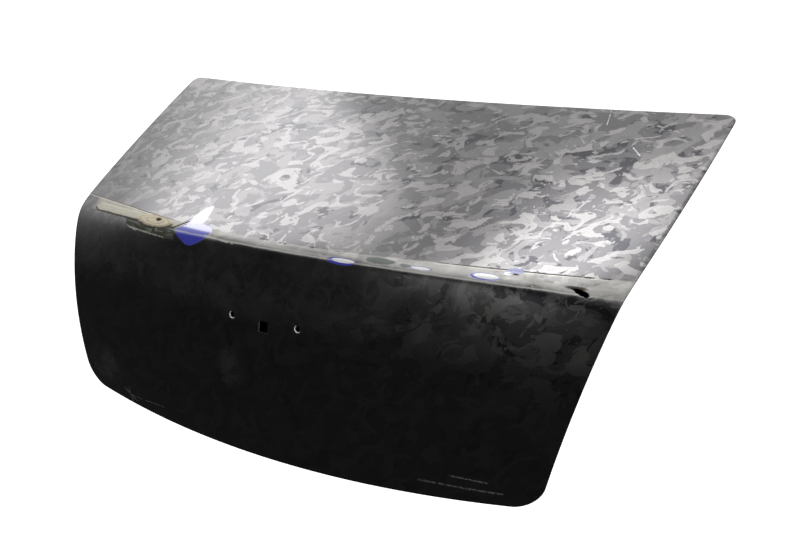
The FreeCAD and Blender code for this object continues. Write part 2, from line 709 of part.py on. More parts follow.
def latch_reinforcement(label):
    """Return the plate welded inside the latch seat."""
    body = document.addObject("PartDesign::Body", label)
    margin = f"2 * {cell('panel_sheet')} - 2 * {cell('plate_clearance')}"
    outline = rectangle(f"{cell('latch_width')} - {margin}", f"{cell('latch_height')} - {margin}")
    plate = add_pad(body, outline_sketch(body, "XZ_Plane", "Outline", outline), "Plate",
                    cell("plate_sheet"))
    round_uprights(body, plate, "Corners", Vector(0, 1, 0), cell("plate_corner"))
    half_across = f"{cell('latch_pitch_across')} / 2"
    half_up = f"{cell('latch_pitch_upright')} / 2"
    circles = [(cell("latch_hole_radius"), f"{across}{half_across}", f"{up}{half_up}")
               for across in ("", "-") for up in ("", "-")]
    cut_through(body, circle_sketch(body, "XZ_Plane", "BoltHoles", circles), "BoltHoles")
    mouth = rectangle(cell("latch_window_width"), cell("latch_window_height"))
    cut_through(body, outline_sketch(body, "XZ_Plane", "Mouth", mouth), "Mouth")
    bind_place(body, "0", f"{CREASE_BACK} - {cell('latch_setback')} - {cell('panel_sheet')}",
               f"{CREASE_DOWN} - {cell('latch_drop')}")
    return body


def weld_nuts(label, stem, places, turn):
    """Return a group of weld nuts: stem names their sizes, places are their seats."""
    nuts = []
    for number, place in enumerate(places, start=1):
        hexagon = document.addObject("Part::Prism", f"{label}_hexagon_{number}")
        hexagon.Polygon = 6
        hexagon.setExpression("Circumradius", f"{cell(stem + '_nut_flat')} / sqrt(3)")
        hexagon.setExpression("Height", cell(stem + "_nut_height"))
        bore = document.addObject("Part::Cylinder", f"{label}_bore_{number}")
        bore.setExpression("Radius", cell(stem + "_nut_bore"))
        bore.setExpression("Height", cell(stem + "_nut_height"))
        nut = document.addObject("Part::Cut", f"{label}_{number}")
        nut.Base = hexagon
        nut.Tool = bore
        nut.Placement = Placement(Vector(), turn)
        bind_place(nut, *place)
        nuts.append(nut)
    group = document.addObject("Part::Compound", label)
    group.Links = nuts
    return group


def hinge_nuts(label, side):
    """Return the two weld nuts of one hinge."""
    height = f"{cell('panel_sheet')} + {cell('plate_sheet')}"
    places = [(f"{side} * {cell('hinge_half_span')}", f"{end} * {cell('hinge_pitch')} / 2", height)
              for end in (-1, 1)]
    return weld_nuts(label, "hinge", places, Rotation())


def latch_nuts(label):
    """Return the four weld nuts of the latch."""
    back = (f"{CREASE_BACK} - {cell('latch_setback')} - {cell('panel_sheet')}"
            f" - {cell('plate_sheet')}")
    places = [(f"{across} * {cell('latch_pitch_across')} / 2", back,
               f"{CREASE_DOWN} - {cell('latch_drop')} + {up} * {cell('latch_pitch_upright')} / 2")
              for across in (-1, 1) for up in (-1, 1)]
    return weld_nuts(label, "latch", places, Rotation(Vector(1, 0, 0), 90))


def bump_stop(label, side):
    """Return one rubber bump stop, turned about the axis of its stem."""
    body = document.addObject("PartDesign::Body", label)
    stem = f"{cell('bump_hole_radius')} - {cell('bump_stem_clearance')}"
    back = f"-{cell('panel_sheet')} - {cell('bump_stem_clearance')}"
    profile = [("0", f"-{cell('bump_stem_length')}"),
               (f"{stem} - {cell('bump_barb')}", f"-{cell('bump_stem_length')}"),
               (f"{stem} + {cell('bump_barb')}", back), (stem, back), (stem, "0"),
               (cell("bump_flange_radius"), "0"),
               (cell("bump_flange_radius"), cell("bump_flange_height")),
               (cell("bump_nose_radius"), cell("bump_flange_height")),
               (cell("bump_nose_radius"), f"{cell('bump_length')} - {cell('bump_nose_round')}"),
               (f"{cell('bump_nose_radius')} - {cell('bump_nose_round')}", cell("bump_length")),
               ("0", cell("bump_length"))]
    sketch = outline_sketch(body, "XY_Plane", "Profile", profile)
    turned = body.newObject("PartDesign::Revolution", "Turned")
    turned.Profile = sketch
    turned.ReferenceAxis = (sketch, ["V_Axis"])
    turned.Angle = 360
    document.recompute()
    bind_place(body, f"{side} * {cell('bump_half_span')}",
               f"{CREASE_BACK} - {cell('bump_setback')}", f"{CREASE_DOWN} - {cell('bump_drop')}")
    return body


def build():
    """Build every piece and return the finished objects."""
    pieces = [add_stamping("outer_skin", outer_skin()), add_stamping("inner_panel", inner_panel()),
              add_stamping("hem_sealer", hem_sealer()),
              add_stamping("deck_mastic", mastic_dabs(True)),
              add_stamping("rear_mastic", mastic_dabs(False))]
    for name, side in SIDES:
        pieces.append(hinge_reinforcement(f"hinge_reinforcement_{name}", side))
        pieces.append(hinge_nuts(f"hinge_nuts_{name}", side))
        pieces.append(bump_stop(f"bump_stop_{name}", side))
    pieces.append(latch_reinforcement("latch_reinforcement"))
    pieces.append(latch_nuts("latch_nuts"))
    document.recompute()
    return pieces


def check(pieces):
    """Stop if any object failed or any piece is empty or unsound."""
    for item in document.Objects:
        if "Invalid" in item.State or "Error" in item.State:
            raise RuntimeError(f"{item.Label} failed: {item.State}")
    for piece in pieces:
        if piece.Shape.isNull() or not piece.Shape.isValid() or not piece.Shape.Solids:
            raise RuntimeError(f"{piece.Label} has no sound shape")


def main():
    """Build the lid, check it and write each piece to its own file."""
    pieces = build()
    check(pieces)
    os.makedirs("parts", exist_ok=True)
    for piece in pieces:
        piece.Shape.exportStep(f"parts/{piece.Label}.step")
        print(f"{piece.Label}: {len(piece.Shape.Solids)} solids, {piece.Shape.Volume / 1000:.1f} cm3")


main()
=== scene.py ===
"""Car trunk lid: a film-wrapped pressed skin hemmed round a painted inner panel, on a pale studio floor."""
import functools
import logging
import math
import operator
from collections.abc import Callable, Iterable, Mapping, Sequence
from dataclasses import dataclass
from enum import Enum

import bpy
import numpy as np
from mathutils import Matrix


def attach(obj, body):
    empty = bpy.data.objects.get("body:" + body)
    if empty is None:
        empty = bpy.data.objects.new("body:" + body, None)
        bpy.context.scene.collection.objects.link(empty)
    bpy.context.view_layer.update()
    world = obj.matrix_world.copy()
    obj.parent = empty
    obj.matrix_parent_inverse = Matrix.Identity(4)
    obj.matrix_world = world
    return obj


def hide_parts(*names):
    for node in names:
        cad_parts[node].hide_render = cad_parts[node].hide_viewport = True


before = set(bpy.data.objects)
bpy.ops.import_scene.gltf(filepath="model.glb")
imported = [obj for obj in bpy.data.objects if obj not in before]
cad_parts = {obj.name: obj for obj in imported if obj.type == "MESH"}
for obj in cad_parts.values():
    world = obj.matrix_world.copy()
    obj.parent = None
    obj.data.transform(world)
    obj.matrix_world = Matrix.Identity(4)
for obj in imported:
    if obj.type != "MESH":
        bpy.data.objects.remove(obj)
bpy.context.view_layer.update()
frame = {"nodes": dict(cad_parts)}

LOG = logging.getLogger("trunk_lid")
MM = 0.001
FACE_SAMPLES = 801

Point = tuple[float, float]
Triple = tuple[float, float, float]
Oval = tuple[float, float, float, float]
Colour = tuple[float, float, float, float]


def grey(level: float) -> Colour:
    """Return a neutral colour of this level."""
    return (level, level, level, 1.0)


# ---- shape of the lid


@dataclass(frozen=True)
class LidForm:
    """The skin's formula surface, in millimetres, with the hinge bolts' centre as origin.

    Three lines run across the car: front edge, crease and lower edge. A fore-and-aft section is
    two gently arched runs that a soft bend joins. run is 0 at the crease, 1 at the front, -1 below.
    """

    setback: float = 480.0
    drop: float = 29.0
    deck_length: float = 543.8
    deck_slope: float = 10.0
    deck_arch: float = 4.9
    face_drop: float = 384.7
    face_reach: float = 118.8
    face_bulge: float = 25.0
    bend_centre: float = 12.7
    bend_end: float = 31.6
    crease_half: float = 600.0
    front_half: float = 664.0
    base_half: float = 511.7
    side_bow: float = 5.0
    side_blend: float = 21.2
    crease_lines: Triple = (92.8, 33.2, 7.3)
    front_lines: Point = (49.5, 8.3)
    base_lines: Point = (75.8, 20.6)
    front_radius: float = 21.0
    base_radius: float = 63.0
    run_limit: float = 1.1
    halvings: int = 26

    @property
    def front(self) -> np.ndarray:
        """Return the front edge on the centre line, from the crease."""
        return np.array([self.deck_length, self.deck_length * math.tan(math.radians(self.deck_slope))])

    @property
    def base(self) -> np.ndarray:
        """Return the lower edge on the centre line, from the crease."""
        return np.array([-self.face_reach, -self.face_drop])

    @property
    def deck_run(self) -> float:
        """Return the straight length of the deck."""
        return float(np.hypot(*self.front))

    @property
    def face_run(self) -> float:
        """Return the straight length of the rear face."""
        return float(np.hypot(*self.base))

    def shares(self, run: np.ndarray, softness: np.ndarray | float) -> tuple[np.ndarray, np.ndarray]:
        """Return deck and face shares of a run; softness is a length that rounds the turn."""
        root = np.hypot(run, softness / ((self.deck_run + self.face_run) / 2))
        return (root + run) / 2, (root - run) / 2

    def half_width(self, run: np.ndarray) -> np.ndarray:
        """Return the half width: linear in both shares, with an outward bow along the deck."""
        deck, face = self.shares(run, self.side_blend)
        return (self.crease_half + (self.front_half - self.crease_half) * deck
                + (self.base_half - self.crease_half) * face + 4 * self.side_bow * deck * (1 - deck))

    def point(self, x: np.ndarray, run: np.ndarray, depth: np.ndarray | float = 0.0) -> np.ndarray:
        """Return points: crease plus each share of the way to the edges, plus arch and bulge.

        Depth is the distance inside the outer surface. The answer has one more axis than x.
        """
        x, run, depth = np.broadcast_arrays(x, run, depth)
        square = (x / self.crease_half) ** 2
        deck_way, face_way = self.front / self.deck_run, self.base / self.face_run
        deck_normal = np.array([-deck_way[1], deck_way[0]])
        face_normal = np.array([face_way[1], -face_way[0]])
        crease_normal = (deck_normal + face_normal) / (1 + deck_normal @ face_normal)
        sweep, crown, droop = self.crease_lines
        inward = depth[..., None]
        crease = np.stack([sweep * square, -crown * square - droop * square ** 2], -1)
        front = self.front + square[..., None] * np.array([self.front_lines[0], -self.front_lines[1]])
        base = self.base + square[..., None] * np.array(self.base_lines)
        crease = crease - inward * crease_normal
        front = front - inward * deck_normal
        base = base - inward * face_normal
        softness = self.bend_centre + (self.bend_end - self.bend_centre) * square ** 2
        deck, face = (share[..., None] for share in self.shares(run, softness))
        section = (crease + deck * (front - crease) + face * (base - crease)
                   + 4 * self.deck_arch * deck * (1 - deck) * deck_normal
                   + 4 * self.face_bulge * face * (1 - face) * face_normal)
        return np.stack([x, section[..., 0] - self.setback, section[..., 1] - self.drop], -1)

    def run_of(self, v: np.ndarray) -> np.ndarray:
        """Return the run of a distance from the crease, forward positive."""
        return np.where(v > 0, v / self.deck_run, v / self.face_run)

    def run_through(self, points: np.ndarray) -> np.ndarray:
        """Return each point's run: y plus z grows steadily along a section, so it is halved in on."""
        low, high = np.full(len(points), -self.run_limit), np.full(len(points), self.run_limit)
        wanted = points[:, 1] + points[:, 2]
        for _ in range(self.halvings):
            middle = (low + high) / 2
            here = self.point(points[:, 0], middle)
            short = here[:, 1] + here[:, 2] < wanted
            low, high = np.where(short, middle, low), np.where(short, high, middle)
        return (low + high) / 2

    def tangent_length(self, end: int) -> float:
        """Return how far a corner's rounding reaches along its edges: radius over tan of half the angle."""
        radius = self.front_radius if end > 0 else self.base_radius
        step = 0.02
        runs = np.array([end, end * (1 - step), end], float)
        halves = self.half_width(runs)
        corner, along_side, along_end = self.point(halves * np.array([1, 1, 1 - step]), runs)
        first, second = along_side - corner, along_end - corner
        cosine = first @ second / np.linalg.norm(first) / np.linalg.norm(second)
        return radius / math.tan(math.acos(cosine) / 2)


FORM = LidForm()


# ---- meshes


def add_object(name: str, data: bpy.types.ID) -> bpy.types.Object:
    """Return a new object of this data in the scene."""
    piece = bpy.data.objects.new(name, data)
    bpy.context.scene.collection.objects.link(piece)
    return piece


def placed(right: np.ndarray, up: np.ndarray, back: np.ndarray, place: Sequence[float]) -> Matrix:
    """Return the matrix of three axes and a place."""
    axes = np.eye(4)
    axes[:3] = np.column_stack([right, up, back, place])
    return Matrix(axes.tolist())


def make_object(name: str, points: np.ndarray, faces: np.ndarray, smooth: bool = True) -> bpy.types.Object:
    """Return a mesh object made of corner places in metres and rows of corner numbers."""
    mesh = bpy.data.meshes.new(name)
    mesh.from_pydata(points.tolist(), [], faces.tolist())
    mesh.polygons.foreach_set("use_smooth", np.full(len(faces), smooth))
    mesh.update()
    return add_object(name, mesh)


def grid_faces(rows: int, columns: int, start: int = 0, flip: bool = False) -> np.ndarray:
    """Return the quads of a grid whose points are numbered row by row from start."""
    first = (np.arange(rows - 1)[:, None] * columns + np.arange(columns - 1)[None]).ravel() + start
    quads = np.stack([first, first + 1, first + columns + 1, first + columns], 1)
    return quads[:, ::-1] if flip else quads


def rim(grid: np.ndarray) -> np.ndarray:
    """Return the points round the border of a grid, as one loop."""
    return np.concatenate([grid[0, :-1], grid[:-1, -1], grid[-1, :0:-1], grid[:0:-1, 0]])


def side_distances(u: "Place", v: "Place", outline: Sequence[Point]) -> list["Place"]:
    """Return how far places, arrays or wires, lie outside each side of a clockwise outline."""
    distances = []
    for (pu, pv), (qu, qv) in zip(outline, [*outline[1:], outline[0]]):
        length = math.hypot(qu - pu, qv - pv)
        nu, nv = (pv - qv) / length, (qu - pu) / length
        distances.append(u * nu + (v * nv - (pu * nu + pv * nv)))
    return distances


def face_distance(x: float, z: float) -> float:
    """Return how far a place on the rear face lies from the crease, in metres and negative."""
    run = np.linspace(-1.0, 0.0, FACE_SAMPLES)
    heights = FORM.point(np.full(run.shape, x), run)[:, 2]
    return float(np.interp(z, heights, run)) * FORM.face_run * MM


# ---- marks on the skin, painted light and shade among them, in metres across and from the crease
# outlines run clockwise, ovals are a centre and two half axes, strokes are two ends and a width

FILLER_STRIP = [(-0.537, 0.0125), (-0.527, 0.0272), (-0.395, 0.025), (-0.33, 0.019),
                (-0.335, 0.0035), (-0.395, 0.0025), (-0.522, 0.004)]
FILLER_POOL = (-0.3175, 0.0115, 0.054, 0.0165)
# painted shade: a dark oval round the small cut hole, wider than the hole
STUD_HOLE_SHADE = (-0.3073, 0.0165, 0.0085, 0.0052)
BARE_LOWER = [(-0.2483, -0.0018), (-0.23, 0.017), (-0.2, 0.029), (-0.1673, 0.0276), (-0.1531, 0.0157),
              (-0.1615, -0.0043), (-0.1847, -0.0211), (-0.2025, -0.0258), (-0.2307, -0.0149)]
BARE_UPPER = [(-0.2263, 0.018), (-0.2258, 0.0362), (-0.218, 0.067), (-0.205, 0.081), (-0.19, 0.034),
              (-0.19, 0.018)]
BARE_POOLS = [(0.1385, -0.0018, 0.027, 0.0068), (0.2796, 0.0083, 0.0195, 0.0042),
              (0.386, 0.0098, 0.0235, 0.0083), (0.4195, 0.0245, 0.0085, 0.005),
              (0.4285, 0.0325, 0.0125, 0.0062)]
# painted highlights: white glint cores on the bare blue paint, where the bend would mirror a bright light
PAINTED_GLINT_CORES = [(0.143, -0.0003, 0.022, 0.0042), (0.28, 0.0083, 0.017, 0.0036),
               (0.3885, 0.0108, 0.0205, 0.0062), (0.419, 0.024, 0.007, 0.0042)]
TEAR_STROKE = ((-0.253, 0.0045), (-0.226, 0.029), 0.0026)
TEAR_OVAL = (0.4275, 0.0245, 0.0085, 0.0022)
TORN_RIM = (0.527, 0.0112, 0.016, 0.0046)
LARGE_SPOT = (0.2063, 0.0121, 0.0265, 0.0078)
SMALL_SPOT = (0.252, 0.0093, 0.011, 0.004)
FACE_STAINS = [((-0.0747, -0.2327, 0.026, 0.038), 1.0), ((-0.452, -0.335, 0.05, 0.045), 0.8)]
# a dark olive patch across the crease below the filler, with paler streaks
DARK_OLIVE_PATCH = [(-0.41, 0.0035), (-0.25, 0.0075), (-0.2465, -0.0193), (-0.3826, -0.0203)]
SPOILER_LINE = [(-0.6, 0.0465), (-0.4234, 0.0354), (-0.2795, 0.0239), (-0.0388, 0.0188), (0.072, 0.0181),
                (0.1196, 0.0191), (0.3054, 0.0278), (0.4735, 0.0352), (0.5703, 0.0422), (0.605, 0.044)]
# painted shade: the pin pricks are not cut; each is a dark dot standing for the shade inside a tiny hole
PIN_PRICKS = [(-0.0388, 0.0188), (-0.0325, 0.019), (-0.0253, 0.0188), (0.0047, 0.0172), (0.0158, 0.0168),
              (0.072, 0.0181)]
PRICK_AXES = (0.0024, 0.0016)
SCRATCHES = [((0.432, 0.548), (0.44, 0.488), 0.0012), ((0.508, 0.415), (0.528, 0.388), 0.0016),
             ((0.12, 0.402), (0.16, 0.405), 0.0016), ((-0.3925, -0.372), (-0.352, -0.3925), 0.0022),
             ((-0.377, -0.3665), (-0.369, -0.3985), 0.0018), ((-0.372, -0.383), (-0.262, -0.372), 0.001),
             ((0.303, -0.3701), (0.4585, -0.3774), 0.0022), ((0.36, -0.352), (0.43, -0.358), 0.002),
             ((-0.3876, -0.015), (-0.2696, -0.0205), 0.0016), ((-0.395, -0.012), (-0.36, -0.02), 0.0014),
             ((-0.168, 0.0012), (-0.09, -0.005), 0.0016)]


class SkinSide(Enum):
    """The two finishes of the skin, by material index."""

    FILM = 0
    PAINT = 1


@dataclass
class OuterSkin:
    """The pressed skin with its hemmed edge, its holes and the thick smear of filler by its left end."""

    sheet: float = 0.9
    hem_thickness: float = 3.0
    hem_width: float = 12.0
    columns: int = 241
    deck_step: float = 8.0
    bend_step: float = 2.2
    bend_reach: float = 52.0
    nose_steps: int = 6
    corner_steps: int = 11
    filler_height: float = 0.7
    strip_height: float = 0.6
    strip_slope: float = 0.004
    pool_slope: float = 0.25
    ring_height: float = 0.25
    ring_place: float = 0.72
    ring_width: float = 0.1
    hole_depth: float = 30.0
    holes_below_crease: float = 126.0
    circle_steps: int = 40
    lock_place: Point = (0.0, -155.9)
    lock_side: float = 18.0
    lock_corner: float = 1.5
    lock_corner_steps: int = 5
    pin_places: tuple[Point, Point] = ((-72.25, -147.5), (72.25, -147.5))
    pin_radius: float = 4.5
    stud_place: Point = (-307.0, 16.5)
    stud_radius: float = 3.0
    torn_place: Point = (534.0, 9.5)
    torn_outline: tuple[Point, ...] = (
        (-16.8, 1.2), (-12.5, 0.6), (-9.6, 2.6), (-5.0, 4.4), (0.4, 4.9), (4.6, 4.2), (8.8, 4.7), (12.9, 2.9),
        (15.2, 0.2), (13.2, -2.8), (9.9, -4.4), (6.8, -3.3), (2.6, -4.8), (-2.2, -3.6), (-5.4, -4.0),
        (-9.2, -1.6), (-13.1, -0.9))

    def even_rows(self, start: float, stop: float) -> np.ndarray:
        """Return even rows between two places, without the places themselves."""
        return np.linspace(start, stop, int(abs(start - stop) / self.deck_step))[1:-1]

    def rows(self) -> tuple[np.ndarray, np.ndarray, np.ndarray]:
        """Return each row's distance from the crease, its turn round a corner and that corner's end.

        The turn is in radians from the edge. The end is 1 front, -1 lower and 0 for plain rows.
        """
        angle = np.linspace(0, math.pi / 2, self.corner_steps)
        front, base = FORM.tangent_length(1), FORM.tangent_length(-1)
        deck_top, face_bottom = FORM.deck_run - front, -FORM.face_run + base
        deck = self.even_rows(deck_top, self.bend_reach)
        bend = np.arange(self.bend_reach, -self.bend_reach - self.bend_step / 2, -self.bend_step)
        face = self.even_rows(-self.bend_reach, face_bottom)
        plain = np.concatenate([deck, bend, face])
        distance = np.concatenate([np.full(len(angle), deck_top), plain, np.full(len(angle), face_bottom)])
        turn = np.concatenate([angle, np.zeros(len(plain)), angle[::-1]])
        end = np.concatenate([np.ones(len(angle)), np.zeros(len(plain)), -np.ones(len(angle))])
        return distance, turn, end

    def grid(self, inset: float) -> tuple[np.ndarray, np.ndarray]:
        """Return x and distance from the crease of a grid whose border lies inset from the edge.

        A corner row at angle t lies inset + (T - inset)(1 - cos t) from the end edge and its ends lie
        inset + (T - inset)(1 - sin t) from the side edges, T being the corner's tangent length.
        """
        distance, turn, end = self.rows()
        tangent = np.where(end > 0, FORM.tangent_length(1), FORM.tangent_length(-1))
        room = tangent - inset
        v = np.where(end == 0, distance, distance + end * (tangent - inset - room * (1 - np.cos(turn))))
        side = np.where(end == 0, inset, inset + room * (1 - np.sin(turn)))
        half = FORM.half_width(FORM.run_of(v)) - side
        x = np.linspace(-1, 1, self.columns)[None] * half[:, None]
        return x, np.broadcast_to(v[:, None], x.shape)

    def relief(self, x: np.ndarray, v: np.ndarray) -> np.ndarray:
        """Return how far filler stands proud: a flat-topped smear with a ridge ring round its pool."""
        u, w = x * MM, v * MM
        strip = np.clip(-np.max(side_distances(u, w, FILLER_STRIP), axis=0) / self.strip_slope, 0, 1)
        cu, cv, ru, rv = FILLER_POOL
        radius = np.hypot((u - cu) / ru, (w - cv) / rv)
        pool = np.clip((1 - radius) / self.pool_slope, 0, 1)
        ring = np.exp(-((radius - self.ring_place) / self.ring_width) ** 2)
        pool = pool * (1 - self.ring_height + self.ring_height * ring)
        return self.filler_height * np.maximum(self.strip_height * strip, pool)

    def surface(self, inset: float, depth: float) -> np.ndarray:
        """Return the grid's points in metres, depth millimetres inside the outer surface."""
        x, v = self.grid(inset)
        return FORM.point(x, FORM.run_of(v), depth - (self.relief(x, v) if depth == 0 else 0)) * MM

    def shell(self) -> bpy.types.Object:
        """Return the closed sheet: outer grid, rolled edge, folded hem and inner grid."""
        nose = self.hem_thickness / 2
        angle = np.linspace(0, math.pi, self.nose_steps + 1)
        inner_nose = nose - self.sheet
        profile = [(nose - nose * math.sin(a), nose - nose * math.cos(a)) for a in angle]
        profile += [(self.hem_width * 0.5, self.hem_thickness), (self.hem_width, self.hem_thickness)]
        film_rings = len(profile) - 1
        fold = self.hem_thickness - self.sheet
        profile += [(self.hem_width, fold), (nose, fold)]
        profile += [(nose - inner_nose * math.sin(a), nose + inner_nose * math.cos(a)) for a in angle[1:-1]]
        profile += [(nose, self.sheet)]
        outer, inner = self.surface(*profile[0]), self.surface(*profile[-1])
        rows, columns = outer.shape[:2]
        numbers = np.arange(rows * columns).reshape(rows, columns)
        loops = [rim(self.surface(*ring)) for ring in profile[1:-1]]
        loop_length = len(loops[0])
        points = np.concatenate([outer.reshape(-1, 3), *loops, inner.reshape(-1, 3)])
        first_loop = rows * columns
        inner_start = first_loop + len(loops) * loop_length
        rings = [rim(numbers), *np.arange(first_loop, inner_start).reshape(len(loops), loop_length),
                 rim(numbers) + inner_start]
        bands = [np.stack([a, np.roll(a, -1), np.roll(b, -1), b], 1) for a, b in zip(rings, rings[1:])]
        outer_faces = grid_faces(rows, columns, flip=True)
        inner_faces = grid_faces(rows, columns, inner_start)
        faces = np.concatenate([outer_faces, *bands, inner_faces])
        piece = make_object("wrapped_skin", points, faces)
        finish = np.full(len(faces), SkinSide.PAINT.value, np.int32)
        finish[:len(outer_faces) + film_rings * loop_length] = SkinSide.FILM.value
        piece.data.polygons.foreach_set("material_index", finish)
        return piece

    def cutter(self, outline: np.ndarray, centre: np.ndarray, normal: np.ndarray,
               across: np.ndarray) -> np.ndarray:
        """Return the two end rings, in metres, of a prism along a normal through an outline's centre."""
        up = np.cross(normal, across)
        flat = centre + outline[:, :1] * across + outline[:, 1:] * up
        return np.concatenate([flat - normal * self.hole_depth, flat + normal * self.hole_depth]) * MM

    def cutters(self) -> bpy.types.Object:
        """Return one mesh with a prism for each hole of the skin."""
        right, level, upward = np.eye(3)
        circle = np.linspace(0, 2 * math.pi, self.circle_steps, endpoint=False)
        ring = np.stack([np.cos(circle), np.sin(circle)], 1)
        half = self.lock_side / 2 - self.lock_corner
        corners = np.array([(sx, sz) for sx, sz in ((1, 1), (-1, 1), (-1, -1), (1, -1))], float)
        quarter = np.linspace(0, math.pi / 2, self.lock_corner_steps)
        square = np.concatenate([
            corner * half + self.lock_corner * np.stack([np.cos(quarter + turn), np.sin(quarter + turn)], 1)
            for corner, turn in zip(corners, np.arange(4) * math.pi / 2)])
        rear_run = FORM.run_of(np.array([-self.holes_below_crease]))[0]
        rear_y = FORM.point(np.array(0.0), np.array(rear_run))[1]
        backward = -level
        holes = [(square, np.array([self.lock_place[0], rear_y, self.lock_place[1]]), backward, right)]
        holes += [(ring * self.pin_radius, np.array([x, rear_y, z]), backward, right)
                  for x, z in self.pin_places]
        for (x, forward), outline in ((self.stud_place, ring * self.stud_radius),
                                      (self.torn_place, np.array(self.torn_outline)[::-1])):
            square_x = (x / FORM.crease_half) ** 2
            y = FORM.crease_lines[0] * square_x - FORM.setback + forward
            z = -FORM.crease_lines[1] * square_x - FORM.drop
            holes.append((outline, np.array([x, y, z]), upward, right))
        points, faces, start = [], [], 0
        for outline, centre, normal, across in holes:
            count = len(outline)
            points.append(self.cutter(outline, centre, normal, across))
            low, high = start + np.arange(count), start + count + np.arange(count)
            faces += np.stack([low, np.roll(low, -1), np.roll(high, -1), high], 1).tolist()
            faces += [low[::-1].tolist(), high.tolist()]
            start += 2 * count
        mesh = bpy.data.meshes.new("hole_cutters")
        mesh.from_pydata(np.concatenate(points).tolist(), [], faces)
        return add_object("hole_cutters", mesh)

    def build(self) -> bpy.types.Object:
        """Return the finished skin, with its holes cut and its flat places written."""
        piece, tool = self.shell(), self.cutters()
        cut = piece.modifiers.new("holes", "BOOLEAN")
        cut.operation, cut.object, cut.solver = "DIFFERENCE", tool, "EXACT"
        graph = bpy.context.evaluated_depsgraph_get()
        mesh = bpy.data.meshes.new_from_object(piece.evaluated_get(graph))
        piece.modifiers.clear()
        piece.data = mesh
        mesh.name = piece.name
        bpy.data.objects.remove(tool)
        points = np.zeros(len(mesh.vertices) * 3)
        mesh.vertices.foreach_get("co", points)
        points = points.reshape(-1, 3) / MM
        run = FORM.run_through(points)
        v = np.where(run > 0, run * FORM.deck_run, run * FORM.face_run)
        owner = np.zeros(len(mesh.loops), np.int32)
        mesh.loops.foreach_get("vertex_index", owner)
        sheet = (np.stack([points[:, 0], v], 1) * MM)[owner].astype(np.float32)
        mesh.uv_layers.new(name="sheet").data.foreach_set("uv", sheet.ravel())
        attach(piece, "root")
        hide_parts("outer_skin")
        LOG.info("wrapped skin: %d faces", len(mesh.polygons))
        return piece


# ---- shader workbench


def math_method(operation: str, turned: bool = False) -> Callable[["Wire", "Wire | float"], "Wire"]:
    """Return an operator of Wire that adds a Math node, with its terms turned round if asked."""
    def method(wire: "Wire", other: "Wire | float") -> "Wire":
        """Return the node's outcome."""
        return wire.math(operation, other, wire) if turned else wire.math(operation, wire, other)
    return method


class Wire:
    """A node socket that adds Math nodes when it is used in an expression."""

    def __init__(self, bench: "Bench", socket: bpy.types.NodeSocket) -> None:
        """Keep the socket and the bench that it belongs to."""
        self.bench = bench
        self.socket = socket

    def math(self, operation: str, *terms: "Wire | float") -> "Wire":
        """Return the outcome of a Math node on these terms."""
        return self.bench.add("Math", {"operation": operation}, dict(enumerate(terms)))

    __add__ = math_method("ADD")
    __sub__ = math_method("SUBTRACT")
    __rsub__ = math_method("SUBTRACT", turned=True)
    __mul__ = __rmul__ = math_method("MULTIPLY")
    __truediv__ = math_method("DIVIDE")
    __pow__ = math_method("POWER")
    __or__ = math_method("MAXIMUM")
    __and__ = math_method("MINIMUM")

    def __abs__(self) -> "Wire":
        """Return self without its sign."""
        return self.math("ABSOLUTE", self)

    def step(self, edge: float, soft: float, low: float, high: float) -> "Wire":
        """Return a value that goes from low to high as self passes an edge, over a soft width."""
        return self.bench.add("MapRange", {"interpolation_type": "SMOOTHSTEP"},
                              {0: self, 1: edge - soft, 2: edge + soft, 3: low, 4: high})

    def above(self, edge: float, soft: float) -> "Wire":
        """Return a mask that is 1 where self lies above an edge."""
        return self.step(edge, soft, 0.0, 1.0)

    def below(self, edge: float, soft: float) -> "Wire":
        """Return a mask that is 1 where self lies below an edge."""
        return self.step(edge, soft, 1.0, 0.0)

    def between(self, low: float, high: float, soft: float) -> "Wire":
        """Return a mask that is 1 where self lies between two edges."""
        return self.above(low, soft) * self.below(high, soft)


Term = Wire | float
Place = np.ndarray | Wire


def shaken(place: Wire, grain: Wire, reach: float) -> Wire:
    """Return a place moved to and fro by a grain, which makes a mark's border ragged."""
    return place + (grain - 0.5) * reach


def union(masks: Iterable[Wire]) -> Wire:
    """Return the greatest of some masks."""
    return functools.reduce(operator.or_, masks)


